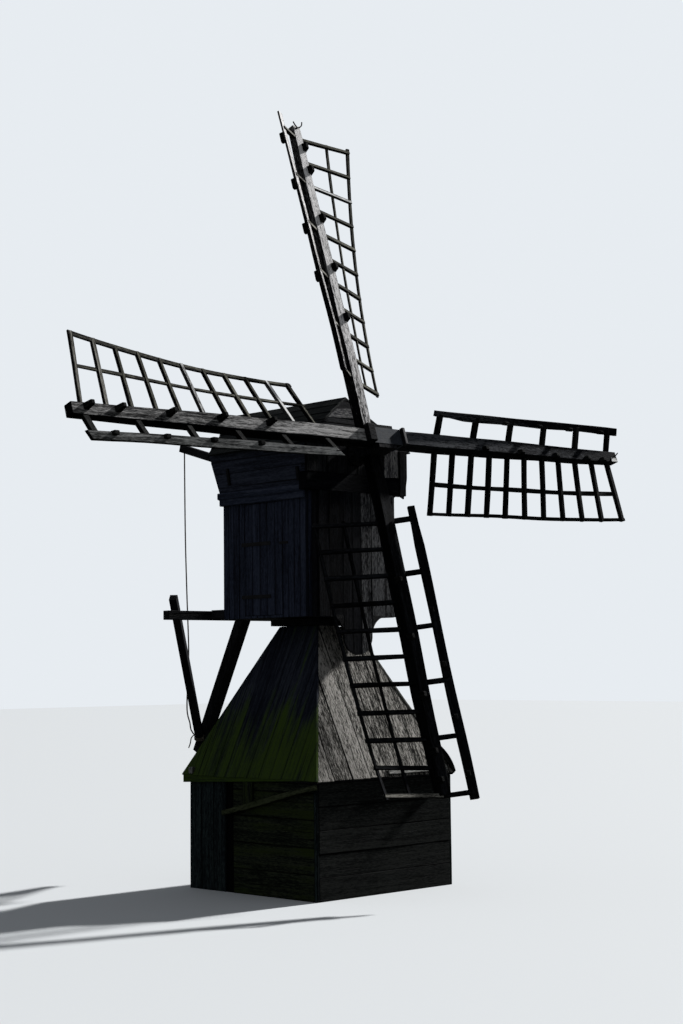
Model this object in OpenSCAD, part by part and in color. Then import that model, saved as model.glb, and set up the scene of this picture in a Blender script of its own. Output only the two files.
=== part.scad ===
// Traditional meadow windmill: boarded base, turning house and four lattice sails.
// Units are millimetres, +Z is up, the front of the house faces -Y.

/* [Base] */
// Heading of the fixed base about the post, degrees
base_heading = 2; // [-4:0.5:4]
// Outside width of the square base walls
base_w = 1810; // [1780:5:1830]
// Distance of the rear base wall behind the post
base_rear = 850; // [840:5:865]
// Height of the base walls
base_wall_h = 1052; // [1000:4:1056]
// Thickness of the base wall boards
base_board_t = 28; // [22:1:34]
// Thickness of the square base corner posts
base_post_w = 110; // [90:5:130]
// Width of the crossed ground sills
sill_w = 160; // [140:5:180]
// Height of the crossed ground sills
sill_h = 140; // [120:5:160]
// Outside diameter of the hollow post
post_d = 300; // [280:5:320]
// Diameter of the bore of the hollow post
post_bore_d = 150; // [120:5:160]

/* [Skirt] */
// Outside width of the skirt at the eave
skirt_w = 1872; // [1860:4:1884]
// Height of the eave above the ground
eave_z = 1080; // [1076:1:1090]
// Outside width of the skirt at the neck
neck_w = 510; // [500:2:520]
// Height of the neck above the ground
neck_z = 2500; // [2490:1:2502]
// Thickness of the skirt boards
skirt_t = 24; // [20:1:28]
// Width of the neck collar
collar_w = 640; // [620:5:660]
// Height of the neck collar
collar_h = 63; // [50:1:63]

/* [House] */
// Underside of the house
floor_z = 2573; // [2571:1:2576]
// Outside width of the house walls
house_w = 1148; // [1140:2:1156]
// Distance of the front wall ahead of the post
house_front = 487; // [484:1:490]
// Distance of the rear wall behind the post
house_rear = 731; // [725:1:740]
// Thickness of the house wall boards
wall_t = 25; // [22:1:28]
// Height of the house walls above the underside
wall_h = 1247; // [1244:1:1250]
// Width of the floor sills
floor_sill_w = 100; // [90:2:110]
// Height of the floor sills
floor_sill_h = 100; // [90:2:110]
// Width of the side hatch
hatch_w = 555; // [540:5:565]
// Height of the side hatch
hatch_h = 1080; // [1060:5:1085]
// Height of the belt moulding
belt_h = 130; // [110:5:140]
// How far the belt moulding stands proud
belt_t = 45; // [40:1:50]
// Height of the upper boards
upper_h = 380; // [375:1:385]
// Thickness of the upper boards
upper_t = 24; // [20:1:27]

/* [Roof] */
// Height of the ridge above the eaves of the house
roof_rise = 510; // [490:5:530]
// Width of the roof across the eaves
roof_w = 1440; // [1420:5:1450]
// Thickness of the roof boards
roof_t = 22; // [18:1:26]

/* [Tail] */
// Length of the tail cross beam
cross_beam_l = 2158; // [2100:2:2200]
// Thickness of the tail cross beam
cross_beam_w = 90; // [86:1:96]
// Thickness of the tail pole
tail_pole_w = 110; // [100:2:120]
// Thickness of the tail braces
tail_brace_w = 75; // [68:1:82]

/* [Sails] */
// Tilt of the windshaft, degrees
shaft_tilt = 17.2; // [17:0.1:17.4]
// Diameter of the windshaft
shaft_d = 230; // [210:2:236]
// Length of the longest sail arm from the hub
arm_l = 3555; // [3540:5:3570]
// Width of a stock at the hub
stock_w = 136; // [130:2:140]
// Width of a stock at its tips
stock_tip_w = 116; // [110:2:120]
// Depth of a stock at the hub
stock_d = 160; // [150:2:160]
// Depth of a stock at its tips
stock_tip_d = 98; // [94:2:106]
// Number of sail bars on each arm
bar_count = 11; // [11:2:13]
// Radius of the outermost sail bar
bar_r_out = 3372; // [3350:2:3380]
// Radius of the innermost sail bar
bar_r_in = 746; // [744:2:780]
// Width of a sail bar
bar_w = 45; // [38:1:48]
// Thickness of a sail bar
bar_t = 25; // [22:1:28]
// Angle of the outermost sail bar, degrees
weather_tip = 0; // [0:0.1:2]
// Angle of the innermost sail bar, degrees
weather_root = 25.2; // [22:0.2:26]
// Width of the lath behind the middle of the bars
mid_lath_w = 28; // [24:1:34]
// Thickness of the board lath ahead of the stock
board_lath_t = 42; // [36:1:46]

/* [Hidden] */
$fn = 48;
seat_gap = 0.3;
turn_gap = 3;
bearing_gap = 0.6;

base_half = base_w / 2;
base_in = base_half - base_board_t;
base_rear_in = base_rear - base_board_t;
skirt_half = skirt_w / 2;
neck_half = neck_w / 2;
eave_board_t = eave_z - base_wall_h;
eave_board_half = skirt_half - 12;
skirt_slope = (skirt_half - neck_half) / (neck_z - eave_z);
skirt_tx = skirt_t * sqrt(1 + skirt_slope * skirt_slope);
post_top = floor_z + 187;

house_half = house_w / 2;
house_in = house_half - wall_t;
wall_top = floor_z + wall_h;
beam_half = 660;
beam_front = house_front + 110;
beam_bottom = wall_top - 60;
beam_top = beam_bottom + 170;
house_eave = wall_top + upper_h;
upper_foot_half = house_half + 26;
upper_slope = (beam_half - upper_foot_half) / upper_h;
upper_foot_rear = house_rear + 26;
upper_rear_slope = 0.25;
upper_tx = upper_t * sqrt(1 + upper_slope * upper_slope);
upper_rear_tx = upper_t * sqrt(1 + upper_rear_slope * upper_rear_slope);
breast_t = 24;
casing_half = 500;
casing_front = house_front + 100;
casing_t = 22;
tongue_r = 186;
tongue_z = floor_z - 177;
hatch_z = floor_z + 27;
hatch_front = -152;
hatch_gap = 4;

roof_half = roof_w / 2;
roof_slope = roof_rise / roof_half;
ridge_z = house_eave + roof_rise;
roof_tz = roof_t * sqrt(1 + roof_slope * roof_slope);
roof_rear_eave = 803;
roof_rear_ridge = 1303;
gable_t = 24;
rear_gable_y = house_rear + 122;

hub_y = -811;
hub_z = 4207;
gable_n = -209;
outer_n = 107;
inner_n = -78;
stock_straight = 1400;
stock_lap = 100;
block_half = shaft_d / 2;
block_back = inner_n - stock_d / 2;
shaft_end = -1460;
bar_pitch = (bar_r_out - bar_r_in) / (bar_count - 1);
weather_bow = 22.7;
hem_tip = 706;
hem_root = 682;
hem_bow = -62;
hem_lath_t = 20;
mid_tip = 410;
mid_root = 395;
mid_lath_t = 18;
board_tip = [269, 122];
board_root = [242, 160];
stub_w = 38;
stub_t = bar_t - 4;
board_cleat_stations = [0.5, 2.5, 4.4, 6.4];
cleat_out = 95;

// Each arm: turn, place along the shaft, length, extra width and depth of the stock,
// width of the board lath with its length past the outer and inner bars, width of the
// hem, and the bar stations of the pegs on the stock
right_arm = [1.13, outer_n, arm_l - 21, 6, 2, 73, 171, 67, 27, [0.4, 1.4, 3.4, 5.5, 7.6]];
top_arm = [89.76, inner_n, arm_l, -18, -16, 78, 187, 33, 30, [0.4, 1.4, 3.5, 5.6, 7.7]];
left_arm = [180.55, outer_n, arm_l - 9, 0, 0, 59, 140, 75, 44, [-0.1, 1.1, 3.1, 5.2, 7.3]];
bottom_arm = [268.69, inner_n, arm_l - 155, 4, 0, 85, 96, 95, 30, [0.4, 1.4, 3.4, 5.5, 7.6]];
block_front = outer_n + (stock_d + right_arm[4]) / 2;

tail_y = 1003;
beam_half_w = cross_beam_w / 2;
beam_z0 = floor_z + 2;
pole_foot = [0, 1797, 1305];
pole_head = [0, 1122, 2593];
brace_head = [890, 1078, 2620];
lever_x = -300;
lever_w = 60;
lever_h = 80;
lever_end = [1745, 4389];
lever_angle = 16.26;
lever_l = 1160;
rope_d = 14;
rope_points = [
    [-300, 1700, 4332], [-300, 1690, 3500], [-300, 1668, 2900], [-300, 1640, 2300],
    [-300, 1655, 2000], [-300, 1670, 1770], [-280, 1690, 1640], [-232, 1710, 1540],
    [-185, 1752, 1467], [-112, 1776, 1401]
];

wood_dark = [0.16, 0.14, 0.13];
wood_grey = [0.45, 0.43, 0.41];
iron = [0.25, 0.24, 0.24];

// A square frame of the base, turned to its heading
module base_turned() {
    rotate([0, 0, base_heading]) children();
}

module base_side_wall() {
    translate([-base_half, -base_half, 0])
        cube([base_board_t, base_half + base_rear, base_wall_h]);
}

module base_left_wall() {
    color(wood_dark) base_turned() base_side_wall();
}

module base_right_wall() {
    color(wood_dark) base_turned() mirror([1, 0, 0]) base_side_wall();
}

// The front and rear walls stand between the side walls
module base_end_wall(y) {
    translate([-base_in, y, 0]) cube([2 * base_in, base_board_t, base_wall_h]);
}

module base_front_wall() {
    color(wood_dark) base_turned() base_end_wall(-base_half);
}

module base_rear_wall() {
    color(wood_dark) base_turned() base_end_wall(base_rear - base_board_t);
}

module base_corner_posts() {
    color(wood_dark) base_turned()
        for (x = [-base_in, base_in - base_post_w])
            for (y = [-base_in, base_rear_in - base_post_w])
                translate([x, y, 0]) cube([base_post_w, base_post_w, base_wall_h]);
}

module cross_sills() {
    color(wood_dark) base_turned() union() {
        translate([-base_in, -sill_w / 2, 0]) cube([2 * base_in, sill_w, sill_h]);
        translate([-sill_w / 2, -base_in, 0]) cube([sill_w, base_in + base_rear_in, sill_h]);
    }
}

// The tube rises from the sills through the neck into the floor of the house
module hollow_post() {
    color(wood_dark) difference() {
        translate([0, 0, sill_h]) cylinder(d = post_d, h = post_top - sill_h);
        translate([0, 0, sill_h - 1]) cylinder(d = post_bore_d, h = post_top);
    }
}

module eave_boards() {
    inner = base_in - base_post_w;
    color(wood_dark) base_turned() difference() {
        translate([-eave_board_half, -eave_board_half, base_wall_h])
            cube([2 * eave_board_half, 2 * eave_board_half, eave_board_t]);
        translate([-inner, -inner, base_wall_h - 1])
            cube([2 * inner, inner + base_rear_in - base_post_w, eave_board_t + 2]);
    }
}

// A sloping panel on the -X side, its ends cut by planes that lean inwards
module skirt_panel(inset) {
    tall = neck_z - eave_z;
    intersection() {
        rotate([90, 0, 0]) linear_extrude(2 * skirt_half, center = true)
            polygon([[-skirt_half, eave_z], [-skirt_half + skirt_tx, eave_z],
                [-neck_half + skirt_tx, neck_z], [-neck_half, neck_z]]);
        translate([-skirt_half - 1, 0, 0]) rotate([90, 0, 90]) linear_extrude(skirt_half)
            polygon([[-skirt_half + inset, eave_z], [skirt_half - inset, eave_z],
                [neck_half - inset, eave_z + tall], [-neck_half + inset, eave_z + tall]]);
    }
}

module skirt_left() {
    color(wood_grey) base_turned() skirt_panel(0);
}

module skirt_right() {
    color(wood_grey) base_turned() rotate([0, 0, 180]) skirt_panel(0);
}

module skirt_front() {
    color(wood_grey) base_turned() rotate([0, 0, 90]) skirt_panel(skirt_tx);
}

module skirt_rear() {
    color(wood_grey) base_turned() rotate([0, 0, -90]) skirt_panel(skirt_tx);
}

module neck_collar() {
    color(wood_dark) base_turned() difference() {
        translate([-collar_w / 2, -collar_w / 2, neck_z])
            cube([collar_w, collar_w, collar_h]);
        translate([0, 0, neck_z - 1])
            cylinder(d = post_d + 2 * seat_gap, h = collar_h + 2);
    }
}

// A slanting rail on the outside of the left wall, from the front corner downwards
module wall_brace() {
    rail_t = 45;
    rail_w = 56;
    rail_l = 1290;
    color(wood_dark) base_turned()
        translate([-base_half - rail_t, -920, 1020]) rotate([-12.5, 0, 0])
            translate([0, 0, -rail_w / 2]) cube([rail_t, rail_l, rail_w]);
}

module floor_sills() {
    sill_l = tail_y - beam_half_w + house_front - wall_t;
    color(wood_dark)
        for (x = [-house_in, house_in - floor_sill_w])
            translate([x, -house_front + wall_t, floor_z])
                cube([floor_sill_w, sill_l, floor_sill_h]);
}

// The bearing block in the floor drops over the head of the post
module house_floor() {
    floor_half = house_in - floor_sill_w;
    floor_t = 34;
    block_w = 500;
    color(wood_dark) difference() {
        union() {
            translate([-floor_half, -house_front + wall_t, floor_z])
                cube([2 * floor_half, house_front + house_rear - 2 * wall_t, floor_t]);
            translate([-block_w / 2, -block_w / 2, floor_z])
                cube([block_w, block_w, post_top - floor_z + 90]);
        }
        translate([0, 0, floor_z - 1])
            cylinder(d = post_d + 2 * turn_gap, h = post_top - floor_z + 1 + 2 * seat_gap);
        translate([0, 0, floor_z]) cylinder(d = post_bore_d, h = post_top);
    }
}

module house_corner_posts() {
    post_w = 80;
    color(wood_dark)
        for (x = [-house_in, house_in - post_w])
            for (y = [-house_front + wall_t, house_rear - wall_t - post_w])
                translate([x, y, floor_z + floor_sill_h])
                    cube([post_w, post_w, wall_h - floor_sill_h]);
}

module house_side_wall() {
    translate([-house_half, -house_front, floor_z])
        cube([wall_t, house_front + house_rear, wall_h]);
}

module house_left_wall() {
    color(wood_dark) difference() {
        house_side_wall();
        translate([-house_half - 1, hatch_front - hatch_gap, hatch_z - hatch_gap])
            cube([wall_t + 2, hatch_w + 2 * hatch_gap, hatch_h + 2 * hatch_gap]);
    }
}

module house_right_wall() {
    color(wood_dark) mirror([1, 0, 0]) house_side_wall();
}

module house_front_wall() {
    color(wood_dark) translate([-house_in, -house_front, floor_z])
        cube([2 * house_in, wall_t, wall_h]);
}

// The floor sills leave through the lower corners of the rear wall
module house_rear_wall() {
    low_half = house_in - floor_sill_w;
    color(wood_dark) union() {
        translate([-low_half, house_rear - wall_t, floor_z])
            cube([2 * low_half, wall_t, wall_h]);
        translate([-house_in, house_rear - wall_t, floor_z + floor_sill_h])
            cube([2 * house_in, wall_t, wall_h - floor_sill_h]);
    }
}

module side_hatch() {
    color(wood_dark) translate([-house_half, hatch_front, hatch_z])
        cube([wall_t, hatch_w, hatch_h]);
}

// Two strap hinges and a latch lie on the hatch and on the wall beside it
module hatch_ironwork() {
    iron_t = 6;
    strap_h = 36;
    strap_l = 430;
    hinge_y = hatch_front + hatch_w + 45 - strap_l;
    color(iron) for (z = [hatch_z + 180, hatch_z + 690])
        translate([-house_half - iron_t, hinge_y, z - strap_h / 2])
            cube([iron_t, strap_l, strap_h]);
    color(iron) translate([-house_half - iron_t, hatch_front - 82, hatch_z + 670])
        cube([iron_t, 122, 26]);
}

// A band with a wider upper half runs round the left, rear and right sides
module belt_moulding() {
    belt_z = wall_top - belt_h;
    step_t = belt_t - 15;
    rise = belt_h / 2;
    color(wood_dark) difference() {
        union() {
            translate([-house_half - step_t, -house_front, belt_z])
                cube([house_w + 2 * step_t, house_front + house_rear + step_t, rise]);
            translate([-house_half - belt_t, -house_front, belt_z + rise])
                cube([house_w + 2 * belt_t, house_front + house_rear + belt_t, rise]);
        }
        translate([-house_half, -house_front - 1, belt_z - 1])
            cube([house_w, house_front + house_rear + 1, belt_h + 2]);
    }
}

// Depth along Y of a plane parallel to the sails, at a height and an offset
function sail_plane_y(z, n) = hub_y + ((z - hub_z) * sin(shaft_tilt) - n) / cos(shaft_tilt);

// Space below the underside of the roof
module under_roof() {
    roof_in = ridge_z - roof_tz;
    rotate([90, 0, 0]) linear_extrude(5000, center = true)
        polygon([[-roof_half, 0], [roof_half, 0], [roof_half, roof_in - roof_rise],
            [0, roof_in], [-roof_half, roof_in - roof_rise]]);
}

module upper_side_slab() {
    top = house_eave + 60;
    rise = top - wall_top;
    head = upper_foot_half + upper_slope * rise;
    rear_head = upper_foot_rear + upper_rear_slope * rise;
    intersection() {
        rotate([90, 0, 0]) linear_extrude(3000, center = true)
            polygon([[-upper_foot_half, wall_top], [-upper_foot_half + upper_tx, wall_top],
                [-head + upper_tx, top], [-head, top]]);
        translate([-1000, 0, 0]) rotate([90, 0, 90]) linear_extrude(1000)
            polygon([[-house_front, wall_top], [upper_foot_rear, wall_top],
                [rear_head, top], [sail_plane_y(top, gable_n - gable_t), top],
                [sail_plane_y(house_eave, gable_n - gable_t), house_eave],
                [sail_plane_y(house_eave, gable_n - gable_t), beam_top],
                [-house_front, beam_top]]);
        under_roof();
    }
}

module left_upper_boards() {
    color(wood_dark) upper_side_slab();
}

module right_upper_boards() {
    color(wood_dark) mirror([1, 0, 0]) upper_side_slab();
}

// Rear boards between the side boards, with the slot that the brake lever fills
module rear_upper_boards() {
    foot = upper_foot_half - upper_tx;
    head = foot + upper_slope * upper_h;
    rear_head = upper_foot_rear + upper_rear_slope * upper_h;
    color(wood_dark) difference() {
        intersection() {
            rotate([90, 0, 90]) linear_extrude(2000, center = true)
                polygon([[upper_foot_rear, wall_top], [rear_head, house_eave],
                    [rear_head - upper_rear_tx, house_eave],
                    [upper_foot_rear - upper_rear_tx, wall_top]]);
            rotate([90, 0, 0]) linear_extrude(3000, center = true)
                polygon([[-foot, wall_top], [foot, wall_top], [head, house_eave],
                    [-head, house_eave]]);
        }
        lever_bar(seat_gap);
    }
}

module weather_beam() {
    color(wood_dark) translate([-beam_half, -beam_front, beam_bottom])
        cube([2 * beam_half, beam_front - house_front, beam_top - beam_bottom]);
}

// Space that the turning windshaft needs in the front of the house
module shaft_space(gap) {
    translate([0, hub_y, hub_z]) rotate([90 - shaft_tilt, 0, 0])
        translate([0, 0, shaft_end - 10])
            cylinder(d = shaft_d + 2 * gap, h = 20 - shaft_end + block_back);
}

module breast_boards() {
    color(wood_grey) difference() {
        translate([-beam_half, -beam_front, beam_top])
            cube([2 * beam_half, breast_t, house_eave - beam_top]);
        shaft_space(10);
    }
}

// The front gable leans back, parallel to the sails
module front_gable() {
    color(wood_grey) difference() {
        intersection() {
            translate([0, hub_y, hub_z]) rotate([90 - shaft_tilt, 0, 0])
                translate([-beam_half, -200, gable_n - gable_t])
                    cube([2 * beam_half, 1200, gable_t]);
            translate([-beam_half, -1000, house_eave])
                cube([2 * beam_half, 1000, 1000]);
            under_roof();
        }
        shaft_space(10);
    }
}

module rear_gable() {
    half = beam_half - upper_t - 2;
    color(wood_dark) intersection() {
        translate([-half, rear_gable_y - gable_t, house_eave]) cube([2 * half, gable_t, 1000]);
        under_roof();
    }
}

// A flat box on the front wall whose lower edge ends in a round tongue
module front_casing() {
    flare = floor_z - tongue_z;
    reach = tongue_r + flare;
    color(wood_dark) union() {
        translate([0, -casing_front + casing_t, 0]) rotate([90, 0, 0])
            linear_extrude(casing_t) union() {
                translate([-casing_half, floor_z])
                    square([2 * casing_half, beam_bottom - floor_z]);
                translate([0, tongue_z]) circle(r = tongue_r);
                difference() {
                    translate([-reach, tongue_z]) square([2 * reach, flare + 1]);
                    translate([-reach, tongue_z]) circle(r = flare);
                    translate([reach, tongue_z]) circle(r = flare);
                }
            }
        for (x = [-casing_half, casing_half - casing_t])
            translate([x, -casing_front + casing_t, floor_z])
                cube([casing_t, casing_front - casing_t - house_front, beam_bottom - floor_z]);
    }
}

module roof_side() {
    foot = house_eave;
    intersection() {
        rotate([90, 0, 0]) linear_extrude(5000, center = true)
            polygon([[-roof_half, foot], [0, ridge_z], [0, ridge_z - roof_tz],
                [-roof_half, foot - roof_tz]]);
        translate([-1000, 0, 0]) rotate([90, 0, 90]) linear_extrude(1000)
            polygon([[sail_plane_y(foot - roof_tz, gable_n), foot - roof_tz],
                [roof_rear_eave, foot - roof_tz], [roof_rear_eave, foot],
                [roof_rear_ridge, ridge_z], [sail_plane_y(ridge_z, gable_n), ridge_z]]);
    }
}

module left_roof() {
    color(wood_dark) roof_side();
}

module right_roof() {
    color(wood_dark) mirror([1, 0, 0]) roof_side();
}

module cross_beam_bar(gap) {
    translate([-cross_beam_l / 2, tail_y - beam_half_w - gap, beam_z0 - gap])
        cube([cross_beam_l, cross_beam_w + 2 * gap, cross_beam_w + 2 * gap]);
}

module tail_cross_beam() {
    color(wood_dark) cross_beam_bar(0);
}

// Straight square bar from one point past another, with an extra length at each end
module bar_between(a, b, w, before, after) {
    d = b - a;
    l = norm(d);
    translate(a) rotate([0, acos(d[2] / l), atan2(d[1], d[0])])
        translate([-w / 2, -w / 2, -before]) cube([w, w, l + before + after]);
}

module pole_bar() {
    bar_between(pole_foot, pole_head, tail_pole_w, 85, 740);
}

// The pole is notched over the cross beam and cut to lie against the rear wall
module tail_pole() {
    color(wood_dark) difference() {
        pole_bar();
        cross_beam_bar(seat_gap);
        translate([-200, house_rear - 400, floor_z]) cube([400, 400, 2000]);
    }
}

// Two long braces run from the ends of the cross beam to the foot of the pole
module tail_braces() {
    color(wood_dark) for (side = [-1, 1])
        difference() {
            bar_between([side * 40, pole_foot[1] - 20, pole_foot[2] + 30],
                [side * brace_head[0], brace_head[1], brace_head[2]], tail_brace_w, 20, 230);
            pole_bar();
            cross_beam_bar(seat_gap);
            translate([side > 0 ? -300 : 0, 1500, 1000]) cube([300, 600, 800]);
        }
}

module lever_bar(gap) {
    translate([lever_x, lever_end[0], lever_end[1]]) rotate([lever_angle, 0, 0])
        translate([-lever_w / 2 - gap, -lever_l, -lever_h / 2 - gap])
            cube([lever_w + 2 * gap, lever_l, lever_h + 2 * gap]);
}

module brake_lever() {
    color(wood_dark) lever_bar(0);
}

// Rings of eight points around the route of the rope, joined into one tube
function smooth_point(p, i, t) = let(
    a = p[max(i - 1, 0)], b = p[i], c = p[i + 1], d = p[min(i + 2, len(p) - 1)])
    0.5 * ((2 * b) + (c - a) * t + (2 * a - 5 * b + 4 * c - d) * t * t
        + (3 * b - a - 3 * c + d) * t * t * t);
function route(p, n) = [for (i = [0 : len(p) - 2])
    let(k = max(2, round(norm(p[i + 1] - p[i]) / n)))
        for (j = [0 : k - 1]) smooth_point(p, i, j / k)];
function rope_ring(c, side, ahead, r) = let(across = cross(ahead, side))
    [for (a = [0 : 45 : 315]) c + r * cos(a) * side + r * sin(a) * across];

module rope_tube(p, r) {
    path = concat(route(p, 3 * rope_d), [p[len(p) - 1]]);
    last = len(path) - 1;
    rings = [for (i = [0 : last])
        let(along = path[min(i + 1, last)] - path[max(i - 1, 0)],
            ahead = along / norm(along), flat = cross([0, 1, 0], ahead),
            side = flat / norm(flat))
            rope_ring(path[i], side, ahead, r)];
    points = [for (ring = rings) for (q = ring) q];
    sides = [for (i = [0 : last - 1]) for (j = [0 : 7])
        [i * 8 + j, i * 8 + (j + 1) % 8, (i + 1) * 8 + (j + 1) % 8, (i + 1) * 8 + j]];
    polyhedron(points, concat(sides, [[7, 6, 5, 4, 3, 2, 1, 0]],
        [[for (j = [0 : 7]) last * 8 + j]]));
}

module brake_rope() {
    color(wood_grey) rope_tube(rope_points, rope_d / 2);
}

// Bearing blocks carry the windshaft at the neck and at the tail
module neck_bearing() {
    color(wood_dark) difference() {
        translate([-210, -beam_front + breast_t, beam_top])
            cube([420, beam_front - breast_t - house_front, 165]);
        shaft_space(bearing_gap);
    }
}

module tail_bearing() {
    color(wood_dark) difference() {
        translate([-house_in, 500, wall_top - 220]) cube([2 * house_in, 90, 180]);
        shaft_space(bearing_gap);
    }
}

// The sail cross turns in this frame: X right, Y up along the sails, Z along the shaft
module sail_frame() {
    translate([0, hub_y, hub_z]) rotate([90 - shaft_tilt, 0, 0]) children();
}

module windshaft() {
    color(wood_dark) sail_frame() translate([0, 0, shaft_end])
        cylinder(d = shaft_d, h = block_back - shaft_end);
}

// One arm of a stock along +X: straight from the hub, then tapered to the tip
module half_stock(arm, gap, deeper = 0) {
    l = arm[2];
    hw = (stock_w + arm[3]) / 2 + gap;
    tw = (stock_tip_w + arm[3]) / 2 + gap;
    hd = (stock_d + arm[4]) / 2 + gap + deeper;
    td = (stock_tip_d + arm[4]) / 2 + gap + deeper;
    intersection() {
        linear_extrude(3 * stock_d, center = true)
            polygon([[-stock_lap, -hw], [stock_straight, -hw], [l, -tw], [l, tw],
                [stock_straight, hw], [-stock_lap, hw]]);
        rotate([90, 0, 0]) linear_extrude(3 * stock_d, center = true)
            polygon([[-stock_lap, -hd], [stock_straight, -hd], [l, -td], [l, td],
                [stock_straight, hd], [-stock_lap, hd]]);
    }
}

module arm_place(arm) {
    sail_frame() rotate([0, 0, arm[0]]) translate([0, 0, arm[1]]) children();
}

// The outer stock lies in a slot that is open to the front, the inner one to the back
module head_block() {
    slot_open = 12;
    color(wood_dark) difference() {
        sail_frame() translate([-block_half, -block_half, block_back])
            cube([2 * block_half, 2 * block_half, block_front - block_back]);
        for (arm = [right_arm, left_arm])
            arm_place(arm) translate([0, 0, slot_open]) half_stock(arm, seat_gap, slot_open);
        for (arm = [top_arm, bottom_arm])
            arm_place(arm) translate([0, 0, -slot_open]) half_stock(arm, seat_gap, slot_open);
    }
}

// A metal sheet over the front of the outer stock at the hub, and a band at its end
module hub_cover() {
    sheet_t = 3;
    band_t = 4;
    band_w = 30;
    band_half_w = (stock_w + right_arm[3]) / 2 + seat_gap + band_t;
    band_half_d = stock_d / 2 + seat_gap + band_t;
    color(iron) union() {
        sail_frame() translate([-175, -75, block_front]) cube([385, 159, sheet_t]);
        arm_place(right_arm) difference() {
            translate([196, -band_half_w, -band_half_d])
                cube([band_w, 2 * band_half_w, 2 * band_half_d]);
            half_stock(right_arm, seat_gap);
        }
    }
}

// Share of the way from the outermost bar to the innermost one
function bar_share(i) = i / (bar_count - 1);
function bar_radius(i) = bar_r_out - i * bar_pitch;
function weather(t) = weather_tip + (weather_root - weather_tip) * t
    + weather_bow * t * (1 - t);
function hem_reach(t) = hem_tip + (hem_root - hem_tip) * t + hem_bow * t * (1 - t);
function mid_reach(t) = mid_tip + (mid_root - mid_tip) * t;
// Distance ahead of the stock and forward of it at which the board lath lies
function board_place(t) = board_tip + (board_root - board_tip) * t;
function board_turn(t) = atan2(board_place(t)[1], board_place(t)[0]);
// Point of a lath at bar number i, at a distance behind the stock
function lath_point(i, d) = let(a = weather(bar_share(i)))
    [bar_radius(i), -d * cos(a), -d * sin(a)];
function board_point(i) = concat([bar_radius(i)], board_place(bar_share(i)));

// The bars start inside the stock; every second one has a stub for the board lath
module bar_solid(i, gap) {
    t = bar_share(i);
    start = 40;
    behind = hem_reach(t) + 20;
    translate([bar_radius(i), 0, 0]) rotate([weather(t), 0, 0])
        translate([-bar_t / 2 - gap, -behind, -bar_w / 2 - gap])
            cube([bar_t + 2 * gap, behind + start, bar_w + 2 * gap]);
    if (i % 2 == 0)
        translate([bar_radius(i), 0, 0]) rotate([board_turn(t), 0, 0])
            translate([-stub_t / 2 - gap, -20, -stub_w / 2 - gap])
                cube([stub_t + 2 * gap, norm(board_place(t)) + 30, stub_w + 2 * gap]);
}

// One straight length of a lath from a to b, turned about its own line
module lath_length(a, b, turn, w, t, before, after) {
    run = b - a;
    l = norm(run);
    translate(a) rotate([0, 0, atan2(run[1], run[0])])
        rotate([0, -asin(run[2] / l), 0]) rotate([turn, 0, 0])
            translate([-before, -w / 2, -t / 2]) cube([l + before + after, w, t]);
}

// Bars, hem lath, middle lath, board lath and its pegs, along +X
module lattice(arm) {
    last = bar_count - 1;
    lap = 6;
    union() {
        for (i = [0 : last]) bar_solid(i, 0);
        for (i = [0 : last - 1]) {
            t0 = bar_share(i);
            t1 = bar_share(i + 1);
            turn = weather((t0 + t1) / 2);
            lath_length(lath_point(i, hem_reach(t0)), lath_point(i + 1, hem_reach(t1)), turn,
                arm[8], hem_lath_t, i == 0 ? 40 : lap, i == last - 1 ? 30 : lap);
            lath_length(lath_point(i, mid_reach(t0)), lath_point(i + 1, mid_reach(t1)), turn,
                mid_lath_w, mid_lath_t, i == 0 ? 25 : lap, i == last - 1 ? 25 : lap);
        }
        for (i = [0 : 2 : last - 2])
            lath_length(board_point(i), board_point(i + 2),
                board_turn((bar_share(i) + bar_share(i + 2)) / 2), arm[5], board_lath_t,
                i == 0 ? arm[6] : lap, i >= last - 2 ? arm[7] : lap);
        for (i = board_cleat_stations)
            translate(board_point(i)) rotate([board_turn(bar_share(i)), 0, 0])
                translate([-25, -24, 0]) cube([50, 48, board_lath_t / 2 + 55]);
    }
}

module stock_with_mortises(arm) {
    difference() {
        half_stock(arm, 0);
        for (i = [0 : bar_count - 1]) bar_solid(i, seat_gap);
    }
}

module outer_stock() {
    color(wood_dark) union() for (arm = [right_arm, left_arm])
        arm_place(arm) stock_with_mortises(arm);
}

module inner_stock() {
    color(wood_dark) union() for (arm = [top_arm, bottom_arm])
        arm_place(arm) stock_with_mortises(arm);
}

// Tapered wooden pegs stand on the front of each arm for the ties of the sailcloth
module stock_cleats() {
    foot = 64;
    head = 44;
    color(wood_dark) for (arm = [right_arm, top_arm, left_arm, bottom_arm])
        arm_place(arm) difference() {
            for (i = arm[9])
                translate([bar_radius(i), 0, 0])
                    linear_extrude(stock_d / 2 + cleat_out, scale = head / foot)
                        square(foot, center = true);
            half_stock(arm, 0);
        }
}

module right_lattice() {
    color(wood_dark) arm_place(right_arm) lattice(right_arm);
}

module left_lattice() {
    color(wood_dark) arm_place(left_arm) lattice(left_arm);
}

module top_lattice() {
    color(wood_dark) arm_place(top_arm) lattice(top_arm);
}

module bottom_lattice() {
    color(wood_dark) arm_place(bottom_arm) lattice(bottom_arm);
}

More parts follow.
